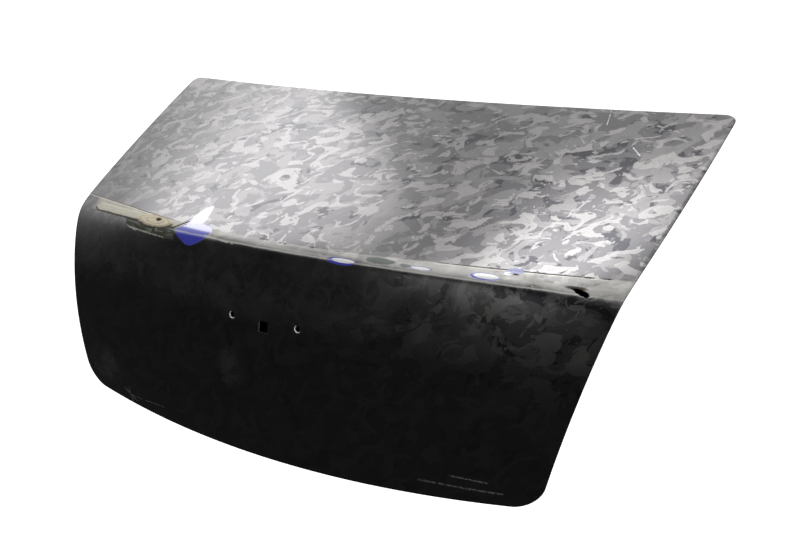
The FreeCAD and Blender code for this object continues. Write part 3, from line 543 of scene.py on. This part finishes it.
class Bench:
    """A material's node tree and the one method that adds nodes to it."""

    def __init__(self, tree: bpy.types.NodeTree) -> None:
        """Take over a node tree and empty it."""
        self.tree = tree
        tree.nodes.clear()

    def add(self, kind: str, settings: Mapping[str, object] | None = None,
            inputs: Mapping[int | str, object] | None = None, output: int | str = 0) -> Wire:
        """Add a node with its own settings and its inputs by socket, and return one output."""
        node = self.tree.nodes.new(f"ShaderNode{kind}")
        for name, value in (settings or {}).items():
            setattr(node, name, value)
        for key, value in (inputs or {}).items():
            if isinstance(value, Wire):
                self.tree.links.new(value.socket, node.inputs[key])
            else:
                node.inputs[key].default_value = value
        return Wire(self, node.outputs[output] if node.outputs else None)

    def vector(self, x: Term, y: Term, z: Term = 0.0) -> Wire:
        """Return a vector of three terms."""
        return self.add("CombineXYZ", None, {0: x, 1: y, 2: z})

    def parts(self, vector: Wire) -> tuple[Wire, Wire, Wire]:
        """Return the three parts of a vector."""
        sockets = self.add("SeparateXYZ", None, {0: vector}).socket.node.outputs
        return tuple(Wire(self, socket) for socket in sockets)

    def noise(self, vector: Wire, scale: float, detail: float = 2.0, roughness: float = 0.5,
              distortion: float = 0.0, shift: Triple = (0.0, 0.0, 0.0)) -> Wire:
        """Return smooth noise between 0 and 1 on a vector, its pattern moved by shift."""
        if any(shift):
            vector = self.add("VectorMath", {"operation": "ADD"}, {0: vector, 1: shift})
        return self.add("TexNoise", None, {
            "Vector": vector, "Scale": scale, "Detail": detail, "Roughness": roughness,
            "Distortion": distortion})

    def blend(self, factor: Term, first: Wire | Colour, second: Wire | Colour) -> Wire:
        """Return a colour between two."""
        return self.add("Mix", {"data_type": "RGBA"}, {0: factor, 6: first, 7: second}, 2)

    def mix(self, factor: Wire, first: Wire, second: Term) -> Wire:
        """Return first where the factor is 0 and second where it is 1."""
        return first * (1 - factor) + second * factor

    def outside(self, u: Wire, v: Wire, outline: Sequence[Point], corner: float = 0.0) -> Wire:
        """Return how far places lie outside a convex outline with sharp or rounded corners."""
        sides = side_distances(u, v, outline)
        if not corner:
            return union(sides)
        squares = [((side + corner) | 0.0) ** 2 for side in sides]
        return functools.reduce(operator.add, squares) ** 0.5 - corner

    def radius(self, u: Wire, v: Wire, shape: Oval) -> Wire:
        """Return the distance from an oval's centre, 1 on its line."""
        cu, cv, ru, rv = shape
        return (((u - cu) / ru) ** 2 + ((v - cv) / rv) ** 2) ** 0.5

    def polyline(self, u: Wire, points: Sequence[Point]) -> Wire:
        """Return the height of a chain of straight pieces at u."""
        pieces = [self.add("MapRange", None, {0: u, 1: pu, 2: qu, 3: 0.0, 4: qv - pv})
                  for (pu, pv), (qu, qv) in zip(points, points[1:])]
        return functools.reduce(operator.add, pieces[1:], pieces[0] + points[0][1])

    def stroke(self, u: Wire, v: Wire, start: Point, finish: Point, width: float) -> Wire:
        """Return a mask that is 1 along a straight scratch and tapers to its ends."""
        (su, sv), (fu, fv) = start, finish
        length = math.hypot(fu - su, fv - sv)
        tu, tv = (fu - su) / length, (fv - sv) / length
        along = (u * tu + (v * tv - (su * tu + sv * tv))) / length
        off = abs(u * -tv + (v * tu - (sv * tu - su * tv)))
        taper = (along * (1 - along) * 4) | 0.0
        return (off / width).below(0.75, 0.35) * taper.above(0.1, 0.1)

    def bump(self, height: Wire, distance: float, strength: float, normal: Wire | None = None) -> Wire:
        """Return a normal that follows a height in metres times distance."""
        under = {"Normal": normal} if normal else {}
        return self.add("Bump", None, {"Height": height, "Distance": distance, "Strength": strength, **under})

    def finish(self, **inputs: object) -> None:
        """End the tree with a Principled shader whose sockets are named with underscores."""
        shader = self.add("BsdfPrincipled", None,
                          {name.replace("_", " "): value for name, value in inputs.items()})
        self.add("OutputMaterial", None, {0: shader})


def new_material(name: str, kind: type[Bench] = Bench) -> tuple[bpy.types.Material, Bench]:
    """Return a new material and its bench, of this kind."""
    material = bpy.data.materials.new(name)
    material.use_nodes = True
    return material, kind(material.node_tree)


# ---- finishes


class FilmSheet(Bench):
    """The film's node tree: flat places, and the masks of the marks on them."""

    def __init__(self, tree: bpy.types.NodeTree) -> None:
        """Read the flat place, and add two grains and the height over the spoiler's line."""
        super().__init__(tree)
        self.sheet = self.add("UVMap", {"uv_map": "sheet"})
        self.u, self.v, _ = self.parts(self.sheet)
        self.fine = self.noise(self.sheet, 160.0, 3.0, 0.6)
        self.coarse = self.noise(self.sheet, 38.0, 3.0, 0.6, 0.0, (4.0, 9.0, 0.0))
        self.ragged = (shaken(self.u, self.coarse, 0.01),
                       shaken(shaken(self.v, self.fine, 0.004), self.coarse, 0.004))
        self.above_line = self.v - self.polyline(self.u, SPOILER_LINE)

    def streaks(self, across: float, along: float, *shape: float | Triple) -> Wire:
        """Return noise with its own scale across and along; shape is what noise takes after scale."""
        return self.noise(self.vector(self.u * across, self.v * along), 1.0, *shape)

    def oval(self, shape: Oval, soft: float) -> Wire:
        """Return the mask of an oval with a clean border."""
        return self.radius(self.u, self.v, shape).below(1.0, soft)

    def ragged_oval(self, shape: Oval, soft: float, edge: float = 1.0) -> Wire:
        """Return the mask of an oval with a ragged border."""
        return self.radius(*self.ragged, shape).below(edge, soft)

    def pools(self, shapes: Sequence[Oval], reach: Point, soft: float) -> Wire:
        """Return the mask of ovals whose borders waver by reach, across and along."""
        u, v = shaken(self.u, self.coarse, reach[0]), shaken(self.v, self.fine, reach[1])
        return union(self.radius(u, v, shape).below(1.0, soft) for shape in shapes)

    def thin_line(self, below: float, half: float, soft: float) -> Wire:
        """Return the mask of a line that runs this far below the spoiler's line."""
        return (abs(self.above_line + below) - half).below(0.0, soft)

    def footprint(self) -> tuple[Wire, Wire]:
        """Return the adhesive and the dirt of the strip where the spoiler sat."""
        left_end = self.u.below(-0.25, 0.02)
        strip = (self.above_line.below(0.0, 0.0015) * (self.v - left_end * 0.009).above(-0.004, 0.003)
                 * self.u.above(-0.548, 0.012))
        smears = self.streaks(9.0, 40.0, 4.0, 0.6, 0.6, (6.0, 3.0, 0.0))
        grime = self.noise(self.sheet, 26.0, 4.0, 0.65, 0.5, (8.0, 1.0, 0.0))
        adhesive = strip * (smears.above(0.48, 0.16) * 0.3 + 0.1 + left_end * 0.3)
        return adhesive, strip * grime.above(0.6, 0.08) * 0.5

    def dirt_line_and_highlight(self) -> tuple[Wire, Wire, Wire]:
        """Return the broken dark thread, a pale painted highlight line below it and the dashes at its right
        end.
        """
        breaks = self.noise(self.vector(self.u, 0.0), 46.0, 2.0, 0.7, 0.0, (2.0, 5.0, 0.0))
        right_half = self.u.between(0.3, 0.572, 0.006)
        left_part = self.u.below(-0.27, 0.02)
        kept = right_half * breaks.above(0.42, 0.03) | left_part * 0.85 | breaks.above(0.58, 0.04) * 0.75
        thread = self.thin_line(0.0, 0.0009, 0.0006) * kept
        # painted highlight: a pale beige line just below the thread, as the lit edge of the ridge
        painted_ridge_highlight = self.thin_line(0.0026, 0.001, 0.0007) * (left_part | right_half * 0.4)
        dashes = self.thin_line(0.0004, 0.0016, 0.0008) * self.u.between(0.525, 0.571, 0.002)
        return thread, painted_ridge_highlight, dashes * breaks.above(0.5, 0.03)

    def filler(self) -> tuple[Wire, Wire, Wire, Wire]:
        """Return the filler, its dark upper edge, the pool round the small hole and the pool's rings."""
        ragged_v = self.ragged[1]
        pool = self.radius(shaken(self.u, self.coarse, 0.022), shaken(ragged_v, self.coarse, 0.004),
                           FILLER_POOL)
        strip = self.outside(*self.ragged, FILLER_STRIP)
        both = pool.below(1.0, 0.05) | strip.below(0.0, 0.0012)
        edge = (abs(strip & ((pool - 1.0) * 0.03)) - 0.0024).below(0.0, 0.0012)
        edge = edge * ragged_v.below(0.0135, 0.004)
        rings = pool.math("SINE", pool * 17.0).above(0.55, 0.3) * pool.between(0.35, 1.0, 0.05)
        return both, edge, pool.below(0.97, 0.06), rings

    def bare_paint(self) -> Wire:
        """Return the places where the film is gone and the blue paint shows."""
        lower = self.outside(self.ragged[0] * 0.35 + self.u * 0.65, shaken(self.v, self.coarse, 0.003),
                             BARE_LOWER, 0.005)
        upper = self.outside(shaken(self.u, self.coarse, 0.004), self.v, BARE_UPPER, 0.004)
        pools = self.pools(BARE_POOLS, (0.006, 0.002), 0.1)
        return lower.below(0.0, 0.0009) | upper.below(-0.001, 0.006) * 0.9 | pools

    def painted_bare_shine(self) -> tuple[Wire, Wire]:
        """Return how the bare places are painted lilac and white as painted reflection and highlight: a fan
        on the left, glint cores on the right.
        """
        fan = self.u.below(-0.1, 0.02)
        cores = self.pools(PAINTED_GLINT_CORES, (0.005, 0.0016), 0.12)
        return self.v.above(0.012, 0.008) * fan * 0.62, self.v.above(0.042, 0.008) * fan * 0.95 | cores

    def stains(self) -> Wire:
        """Return the olive stains of the rear face."""
        patchy = self.noise(self.sheet, 13.0, 4.0, 0.65, 0.4, (1.0, 17.0, 0.0))
        spots = union(self.ragged_oval(shape, 0.5, 0.8) * share for shape, share in FACE_STAINS)
        return (spots | self.v.between(-0.12, -0.008, 0.03) * 0.6) * patchy.above(0.5, 0.22) * 0.6

    def scratches(self) -> Wire:
        """Return the scratches, with a painted highlight along the crease: a thin light glint line."""
        u, v = shaken(self.u, self.fine, 0.001), shaken(self.v, self.fine, 0.0015)
        lines = union(self.stroke(u, v, *line) for line in SCRATCHES)
        lines = lines * self.fine.above(0.44, 0.12) * (self.v.above(-0.15, 0.05) * 0.65 + 0.35)
        # painted highlight: a thin light line along the bend, where it would catch the light
        painted_crease_glint = shaken(self.v + 0.0012, self.coarse, 0.003).between(-0.0016, 0.001, 0.001)
        painted_crease_glint = painted_crease_glint * self.u.between(-0.26, 0.6, 0.02)
        return lines | painted_crease_glint * self.streaks(4.0, 90.0, 4.0, 0.6, 0.3).above(0.42, 0.12) * 0.8

    def painted_rim_highlights(self) -> Wire:
        """Return painted highlights: light crescents on the lower left rims of the pin holes and a light line
        beside the lock hole.
        """
        crescents = []
        for x, z in OuterSkin.pin_places:
            u, v = x * MM, face_distance(x, z)
            shadow = self.radius(self.u, self.v, (u + 0.0018, v + 0.0016, 0.0064, 0.0064))
            crescents.append(self.oval((u, v, 0.0068, 0.0068), 0.1) * shadow.above(1.0, 0.1))
        lock = face_distance(*OuterSkin.lock_place)
        beside = self.u.between(-0.0108, -0.0086, 0.0006)
        beside = beside * self.v.between(lock - 0.0095, lock + 0.0085, 0.001)
        return union([*crescents, beside * 0.2])

    def black(self, *dirt: Wire) -> Wire:
        """Return all that is black: tears, the pin pricks and the oval round the small hole (painted shade of
        holes), the torn hole's rim and dirt.
        """
        tears = self.stroke(self.u, self.v, *TEAR_STROKE) | self.oval(TEAR_OVAL, 0.2)
        pricks = union(self.oval((*place, *PRICK_AXES), 0.3) for place in PIN_PRICKS)
        rim_and_hole_shade = (self.ragged_oval(TORN_RIM, 0.35) | self.oval(STUD_HOLE_SHADE, 0.3)) * 0.9
        return union([tears, pricks, rim_and_hole_shade, *dirt])


@dataclass(frozen=True)
class CamoFilm:
    """The worn wrap film: overlapping grey blotches on a satin metallic ground, with the marks a
    removed spoiler leaves: dirt line, filler smear, bare blue paint, a dark olive patch and scratches,
    and with painted light and shade: glints and a reflection on the bare paint, highlights on the hole
    rims, the crease and a ridge, shade in holes, and the blotches' contrast."""

    ground: float = 0.128
    light: float = 0.25
    pale: float = 0.19
    dark: float = 0.06
    blotch_turn: float = 38.0
    crispness: float = 0.005
    roughness: float = 0.22
    matt_roughness: float = 0.72
    bare_roughness: float = 0.1
    blue: Colour = (0.06, 0.072, 0.5, 1.0)
    # lilac and shine are a painted reflection and a painted highlight on the bare blue paint
    lilac: Colour = (0.62, 0.6, 0.95, 1.0)
    shine: Colour = (0.98, 0.98, 1.0, 1.0)
    tan: Colour = (0.68, 0.6, 0.44, 1.0)
    clay: Colour = (0.56, 0.54, 0.46, 1.0)
    umber: Colour = (0.24, 0.19, 0.11, 1.0)
    adhesive: Colour = (0.56, 0.53, 0.44, 1.0)
    chalk: Colour = (0.66, 0.65, 0.61, 1.0)
    grime: Colour = (0.16, 0.15, 0.11, 1.0)
    ridge_highlight_cream: Colour = (0.78, 0.75, 0.66, 1.0)
    moss: Colour = (0.036, 0.032, 0.014, 1.0)
    slate: Colour = (0.1, 0.115, 0.105, 1.0)
    olive: Colour = (0.045, 0.05, 0.032, 1.0)
    pale_streak_grey: Colour = (0.36, 0.36, 0.32, 1.0)
    # colour of the black marks: dirt, and the painted shade of holes
    dirt_and_shade_black: Colour = (0.012, 0.01, 0.008, 1.0)
    rust: Colour = (0.06, 0.035, 0.012, 1.0)
    # colour of the scratches and of the painted glint along the crease
    scratch_and_glint_grey: Colour = (0.72, 0.72, 0.69, 1.0)
    # colour of the painted highlights on the hole rims
    rim_highlight_white: Colour = (0.88, 0.88, 0.85, 1.0)

    def blotches(self, film: FilmSheet, u: Wire, v: Wire) -> Wire:
        """Return the film's tone: four layers of crisp blotches whose contrast is painted light and shade:
        faint on the left of the deck and over the face but its upper right, strongest on the right.
        """
        turn = math.radians(self.blotch_turn)
        along = u * math.cos(turn) + v * math.sin(turn)
        off = v * math.cos(turn) - u * math.sin(turn)
        place = film.vector(along * 1.42, off * 1.85)
        cloud = film.noise(place, 2.2, 2.0, 0.5, 0.0, (3.1, 7.7, 0.0))
        dark = film.noise(place, 10.5, 3.0, 0.56, 1.1, (5.7, 19.1, 0.0)) + u * 0.06
        pale = film.noise(place, 11.0, 3.0, 0.56, 1.1) + cloud * 0.1
        light = film.noise(place, 14.5, 3.0, 0.55, 1.2, (11.3, 2.9, 0.0))
        small = film.noise(place, 28.0, 2.0, 0.5, 1.1, (23.5, 13.3, 0.0))
        tone = cloud * 0.05 + (self.ground - 0.025)
        for layer, edge, share, level in ((dark, 0.6, 0.75, self.dark), (pale, 0.57, 0.75, self.pale),
                                          (light, 0.555, 0.8, self.light), (small, 0.63, 0.4, self.pale)):
            tone = film.mix(layer.above(edge, self.crispness) * share, tone, level)
        # painted light and shade: the blotches' contrast is raised where light would fall and lowered where
        # it would not
        deck = v.above(-0.006, 0.006) * (u * 0.4 + 1.0)
        face = u.above(0.24, 0.18) * v.above(-0.16, 0.08) * 0.9 + 0.32
        return (tone - self.ground) * (deck | face) + self.ground

    def build(self) -> bpy.types.Material:
        """Return the material: the film's tone, then each mark laid over it in turn."""
        material, film = new_material("camo_film", FilmSheet)
        tone = self.blotches(film, film.u, film.v)
        residue, dirt = film.footprint()
        thread, painted_ridge_highlight, dashes = film.dirt_line_and_highlight()
        filler, filler_edge, pool, rings = film.filler()
        bare, (lilac, white) = film.bare_paint(), film.painted_bare_shine()
        # the scratch mask also holds the painted glint along the crease
        stains, scratch, painted_rim_highlights = film.stains(), film.scratches(), film.painted_rim_highlights()
        black = film.black(filler_edge * 0.85, thread * 0.8, dashes)
        large_spot, small_spot = film.ragged_oval(LARGE_SPOT, 0.1), film.ragged_oval(SMALL_SPOT, 0.15)
        dark_olive_patch = film.outside(*film.ragged, DARK_OLIVE_PATCH).below(0.0, 0.004)
        patch_streaks = film.streaks(30.0, 160.0, 3.0, 0.7, 0.8).above(0.6, 0.05)
        clay = film.blend(pool * 0.8 + film.coarse.above(0.55, 0.1) * 0.2, self.clay, self.tan)

        colour = film.add("CombineColor", None, {0: tone, 1: tone * 0.975, 2: tone * 0.93 + 0.01})
        for mask, layer in (
                (residue, film.blend(film.u.above(-0.15, 0.12), self.adhesive, self.chalk)),
                (dirt * 0.6, self.grime),
                # painted highlight below the dark thread
                (painted_ridge_highlight * 0.6, self.ridge_highlight_cream),
                (stains * 0.8, self.moss),
                (large_spot * 0.9 | small_spot * 0.7, self.slate),
                (dark_olive_patch, film.blend(patch_streaks * 0.55, self.olive, self.pale_streak_grey)),
                (filler, film.blend(rings * 0.45 + film.fine.above(0.62, 0.06) * 0.35, clay, self.umber)),
                # bare blue paint, with a painted lilac-to-white reflection and painted white glints on it
                (bare, film.blend(white, film.blend(lilac, self.blue, self.lilac), self.shine)),
                # black marks: tears and dirt, with the painted shade of the pin pricks and round the small
                # hole
                (black, film.blend(film.coarse.above(0.5, 0.2), self.dirt_and_shade_black, self.rust)),
                (scratch * 0.75, self.scratch_and_glint_grey),
                # painted highlights on the hole rims
                (painted_rim_highlights, self.rim_highlight_white)):
            colour = film.blend(mask, colour, layer)

        matt = union([filler, dark_olive_patch * 0.85, black, stains * 0.4, large_spot * 0.35, dirt * 0.5, residue,
                      painted_rim_highlights])
        rough = film.mix(matt & 1.0, tone * 0.2 + self.roughness, self.matt_roughness)
        height = (1 - bare) * 0.6 + filler * film.fine * 1.2 + scratch * -0.4 + thread * 0.8
        normal = film.bump(height, 0.0004, 0.7)
        normal = film.bump(film.noise(film.sheet, 700.0, 2.0, 0.5), 0.00006, 0.35, normal)
        film.finish(Base_Color=colour, Metallic=(1 - (matt | scratch * 0.6)) * (1 - bare),
                     Roughness=film.mix(bare, rough, self.bare_roughness), Normal=normal,
                     Coat_Weight=bare, Coat_Roughness=0.04)
        return material


@dataclass(frozen=True)
class BodyPaint:
    """Dark blue body colour as it lies inside a lid: glossy, dusty in patches, with small grey chips."""

    name: str
    colour: Colour = (0.01, 0.016, 0.11, 1.0)
    dust: Colour = (0.16, 0.15, 0.13, 1.0)
    chip: Colour = (0.25, 0.25, 0.27, 1.0)
    roughness: float = 0.28

    def build(self) -> bpy.types.Material:
        """Return the material."""
        material, bench = new_material(self.name)
        place = bench.add("TexCoord", None, None, "Object")
        cloud = bench.noise(place, 5.0, 5.0, 0.6, 0.4)
        speck = bench.noise(place, 240.0, 3.0, 0.7)
        peel = bench.noise(place, 420.0, 2.0, 0.5)
        dust = cloud.above(0.52, 0.14) * (speck * 0.5 + 0.35)
        colour = bench.blend(dust * 0.32, self.colour, self.dust)
        chips = speck.above(0.735, 0.012)
        colour = bench.blend(chips * 0.7, colour, self.chip)
        bench.finish(Base_Color=colour, Roughness=dust * 0.35 + self.roughness, Coat_Weight=0.6,
                     Coat_Roughness=0.12, Normal=bench.bump(peel + dust * 0.8, 0.00012, 0.35))
        return material


@dataclass(frozen=True)
class SprayedSteel:
    """Coated steel of plates and nuts: grey zinc with a mist of body colour and brown stain."""

    name: str
    zinc: Colour = (0.42, 0.43, 0.44, 1.0)
    worn: Colour = (0.3, 0.3, 0.3, 1.0)
    mist: Colour = (0.03, 0.04, 0.16, 1.0)
    rust: Colour = (0.1, 0.045, 0.018, 1.0)
    mist_edge: float = 0.5

    def build(self) -> bpy.types.Material:
        """Return the material."""
        material, bench = new_material(self.name)
        place = bench.add("TexCoord", None, None, "Object")
        cloud = bench.noise(place, 26.0, 4.0, 0.6, 0.5)
        grain = bench.noise(place, 600.0, 3.0, 0.6)
        mist = cloud.above(self.mist_edge, 0.16)
        stain = bench.noise(place, 60.0, 4.0, 0.7, 0.6, (3.0, 3.0, 1.0)).above(0.62, 0.06)
        colour = bench.blend(mist * 0.8, bench.blend(grain, self.zinc, self.worn), self.mist)
        colour = bench.blend(stain * 0.5, colour, self.rust)
        bench.finish(Base_Color=colour, Metallic=(1 - mist * 0.8) * (1 - stain * 0.7),
                     Roughness=grain * 0.25 + 0.3, Normal=bench.bump(grain + mist * 0.6, 0.00008, 0.4))
        return material


@dataclass(frozen=True)
class SoftCompound:
    """Sealer, mastic or rubber: matt, slightly lumpy, with dust."""

    name: str
    colour: Colour
    dust: Colour
    lump: float
    roughness: float

    def build(self) -> bpy.types.Material:
        """Return the material."""
        material, bench = new_material(self.name)
        place = bench.add("TexCoord", None, None, "Object")
        lumps = bench.noise(place, 130.0, 3.0, 0.55)
        cloud = bench.noise(place, 18.0, 4.0, 0.6, 0.3, (7.0, 2.0, 5.0))
        dust = cloud.above(0.5, 0.15) * (lumps * 0.6 + 0.3)
        colour = bench.blend(dust * 0.6, self.colour, self.dust)
        bench.finish(Base_Color=colour, Roughness=dust * 0.2 + self.roughness,
                     Normal=bench.bump(lumps, self.lump, 0.6))
        return material


# ---- carried-over pieces


@dataclass(frozen=True)
class InnerParts:
    """The inner panel and what is fixed to it, as the frame gives them, with their finishes."""

    finishes: tuple[tuple[BodyPaint | SprayedSteel | SoftCompound, tuple[str, ...]], ...] = (
        (BodyPaint("panel_paint"), ("inner_panel",)),
        (SoftCompound("painted_sealer", (0.02, 0.028, 0.13, 1.0), (0.15, 0.15, 0.14, 1.0), 0.0006, 0.45),
         ("hem_sealer",)),
        (SoftCompound("mastic", grey(0.03), (0.12, 0.11, 0.1, 1.0), 0.0008, 0.7),
         ("deck_mastic", "rear_mastic")),
        (SprayedSteel("plate_steel", mist_edge=0.42),
         ("hinge_reinforcement_left", "hinge_reinforcement_right", "latch_reinforcement")),
        (SprayedSteel("nut_steel", zinc=(0.5, 0.47, 0.38, 1.0), mist_edge=0.58),
         ("hinge_nuts_left", "hinge_nuts_right", "latch_nuts")),
        (SoftCompound("black_rubber", grey(0.012), (0.1, 0.1, 0.09, 1.0), 0.0003, 0.62),
         ("bump_stop_left", "bump_stop_right")))

    def dress(self, nodes: Mapping[str, bpy.types.Object]) -> None:
        """Give every node its material."""
        for finish, names in self.finishes:
            material = finish.build()
            for name in names:
                materials = nodes[name].data.materials
                materials.clear()
                materials.append(material)
                LOG.info("%s: %s", name, finish.name)


# ---- studio


@dataclass(frozen=True)
class Softbox:
    """A soft light that faces the lid from a direction, in degrees left of forward and above level."""

    name: str
    azimuth: float
    elevation: float
    distance: float
    width: float
    height: float
    radiance: float
    target: Triple = (0.0, -0.25, -0.02)

    def build(self) -> None:
        """Add the light: its power is pi times its area times its radiance."""
        data = bpy.data.lights.new(self.name, "AREA")
        data.shape, data.size, data.size_y = "RECTANGLE", self.width, self.height
        data.energy = math.pi * self.width * self.height * self.radiance
        lamp = add_object(self.name, data)
        turn, tilt = math.radians(self.azimuth), math.radians(self.elevation)
        back = np.array([-math.sin(turn) * math.cos(tilt), math.cos(turn) * math.cos(tilt), math.sin(tilt)])
        side = np.array([math.cos(turn), math.sin(turn), 0.0])
        place = np.array(self.target) + back * self.distance
        lamp.matrix_world = placed(side, np.cross(back, side), back, place)
        lamp.visible_camera = False


@dataclass(frozen=True)
class Studio:
    """The floor, the lights, the surroundings and the camera."""

    floor_height: float = -4.0
    floor_size: float = 40.0
    eye: Triple = (0.94887864, -1.57797626, 0.67549388)
    yaw: float = 0.560412804
    pitch: float = 0.492769503
    roll: float = -0.115351576
    focal_pixels: float = 907.0
    frame_pixels: float = 800.0
    sensor: float = 36.0
    sky_level: float = 0.95
    rear_level: float = 0.04
    sky_edge: Point = (0.16, 0.16)
    forward_edge: Point = (-0.22, 0.12)
    boxes: tuple[Softbox, ...] = (
        Softbox("softbox_left", 56.0, 37.0, 3.2, 1.7, 1.4, 2.85),
        Softbox("softbox_right", -8.0, 67.0, 3.2, 1.1, 1.6, 4.3),
        Softbox("softbox_rear", -172.0, 40.0, 3.2, 1.6, 1.3, 0.55),
    )

    def floor(self) -> None:
        """Add the pale floor."""
        half = self.floor_size / 2
        corners = np.array([(-half, -half), (half, -half), (half, half), (-half, half)])
        points = np.column_stack([corners, np.full(4, self.floor_height)])
        plane = make_object("studio_floor", points, np.array([[0, 1, 2, 3]]), smooth=False)
        material, bench = new_material("studio_floor")
        bench.finish(Base_Color=grey(0.8), Roughness=0.9, Emission_Color=grey(1.0), Emission_Strength=0.85)
        plane.data.materials.append(material)
        plane.visible_glossy = False

    def surroundings(self) -> None:
        """Set a white backdrop for the eye and dim surroundings, lighter above, for the lid."""
        world = bpy.data.worlds.new("studio")
        bpy.context.scene.world = world
        world.use_nodes = True
        bench = Bench(world.node_tree)
        direction = bench.add("TexCoord", None, None, "Generated")
        _, forward, up = bench.parts(direction)
        lit = up.above(*self.sky_edge) * forward.above(*self.forward_edge)
        rays = bench.add("LightPath", None, None, "Is Camera Ray")
        strength = bench.mix(rays, lit * self.sky_level + self.rear_level, 1.0)
        sky = bench.add("Background", None, {0: grey(1.0), 1: strength})
        bench.add("OutputWorld", None, {0: sky})

    def camera(self) -> None:
        """Add the camera at the photograph's place."""
        data = bpy.data.cameras.new("camera")
        data.sensor_width = self.sensor
        data.lens = self.focal_pixels / self.frame_pixels * self.sensor
        data.clip_start, data.clip_end = 0.05, 100.0
        eye = add_object("camera", data)
        level = math.cos(self.pitch)
        ahead = np.array([-math.sin(self.yaw) * level, math.cos(self.yaw) * level, -math.sin(self.pitch)])
        right = np.array([math.cos(self.yaw), math.sin(self.yaw), 0.0])
        up = np.cross(right, ahead)
        cosine, sine = math.cos(self.roll), math.sin(self.roll)
        eye.matrix_world = placed(cosine * right + sine * up, cosine * up - sine * right, -ahead, self.eye)
        bpy.context.scene.camera = eye

    def build(self) -> None:
        """Build all of it."""
        self.floor()
        self.surroundings()
        for box in self.boxes:
            box.build()
        self.camera()
        bpy.context.scene.view_settings.view_transform = "Standard"
        LOG.info("studio: %d lights", len(self.boxes))


def main() -> None:
    """Build the lid and its studio."""
    logging.basicConfig(level=logging.INFO, format="%(name)s %(message)s")
    skin = OuterSkin().build()
    for material in (CamoFilm().build(), BodyPaint("skin_back_paint").build()):
        skin.data.materials.append(material)
    InnerParts().dress(frame["nodes"])
    Studio().build()


if __name__ == "__main__":
    main()
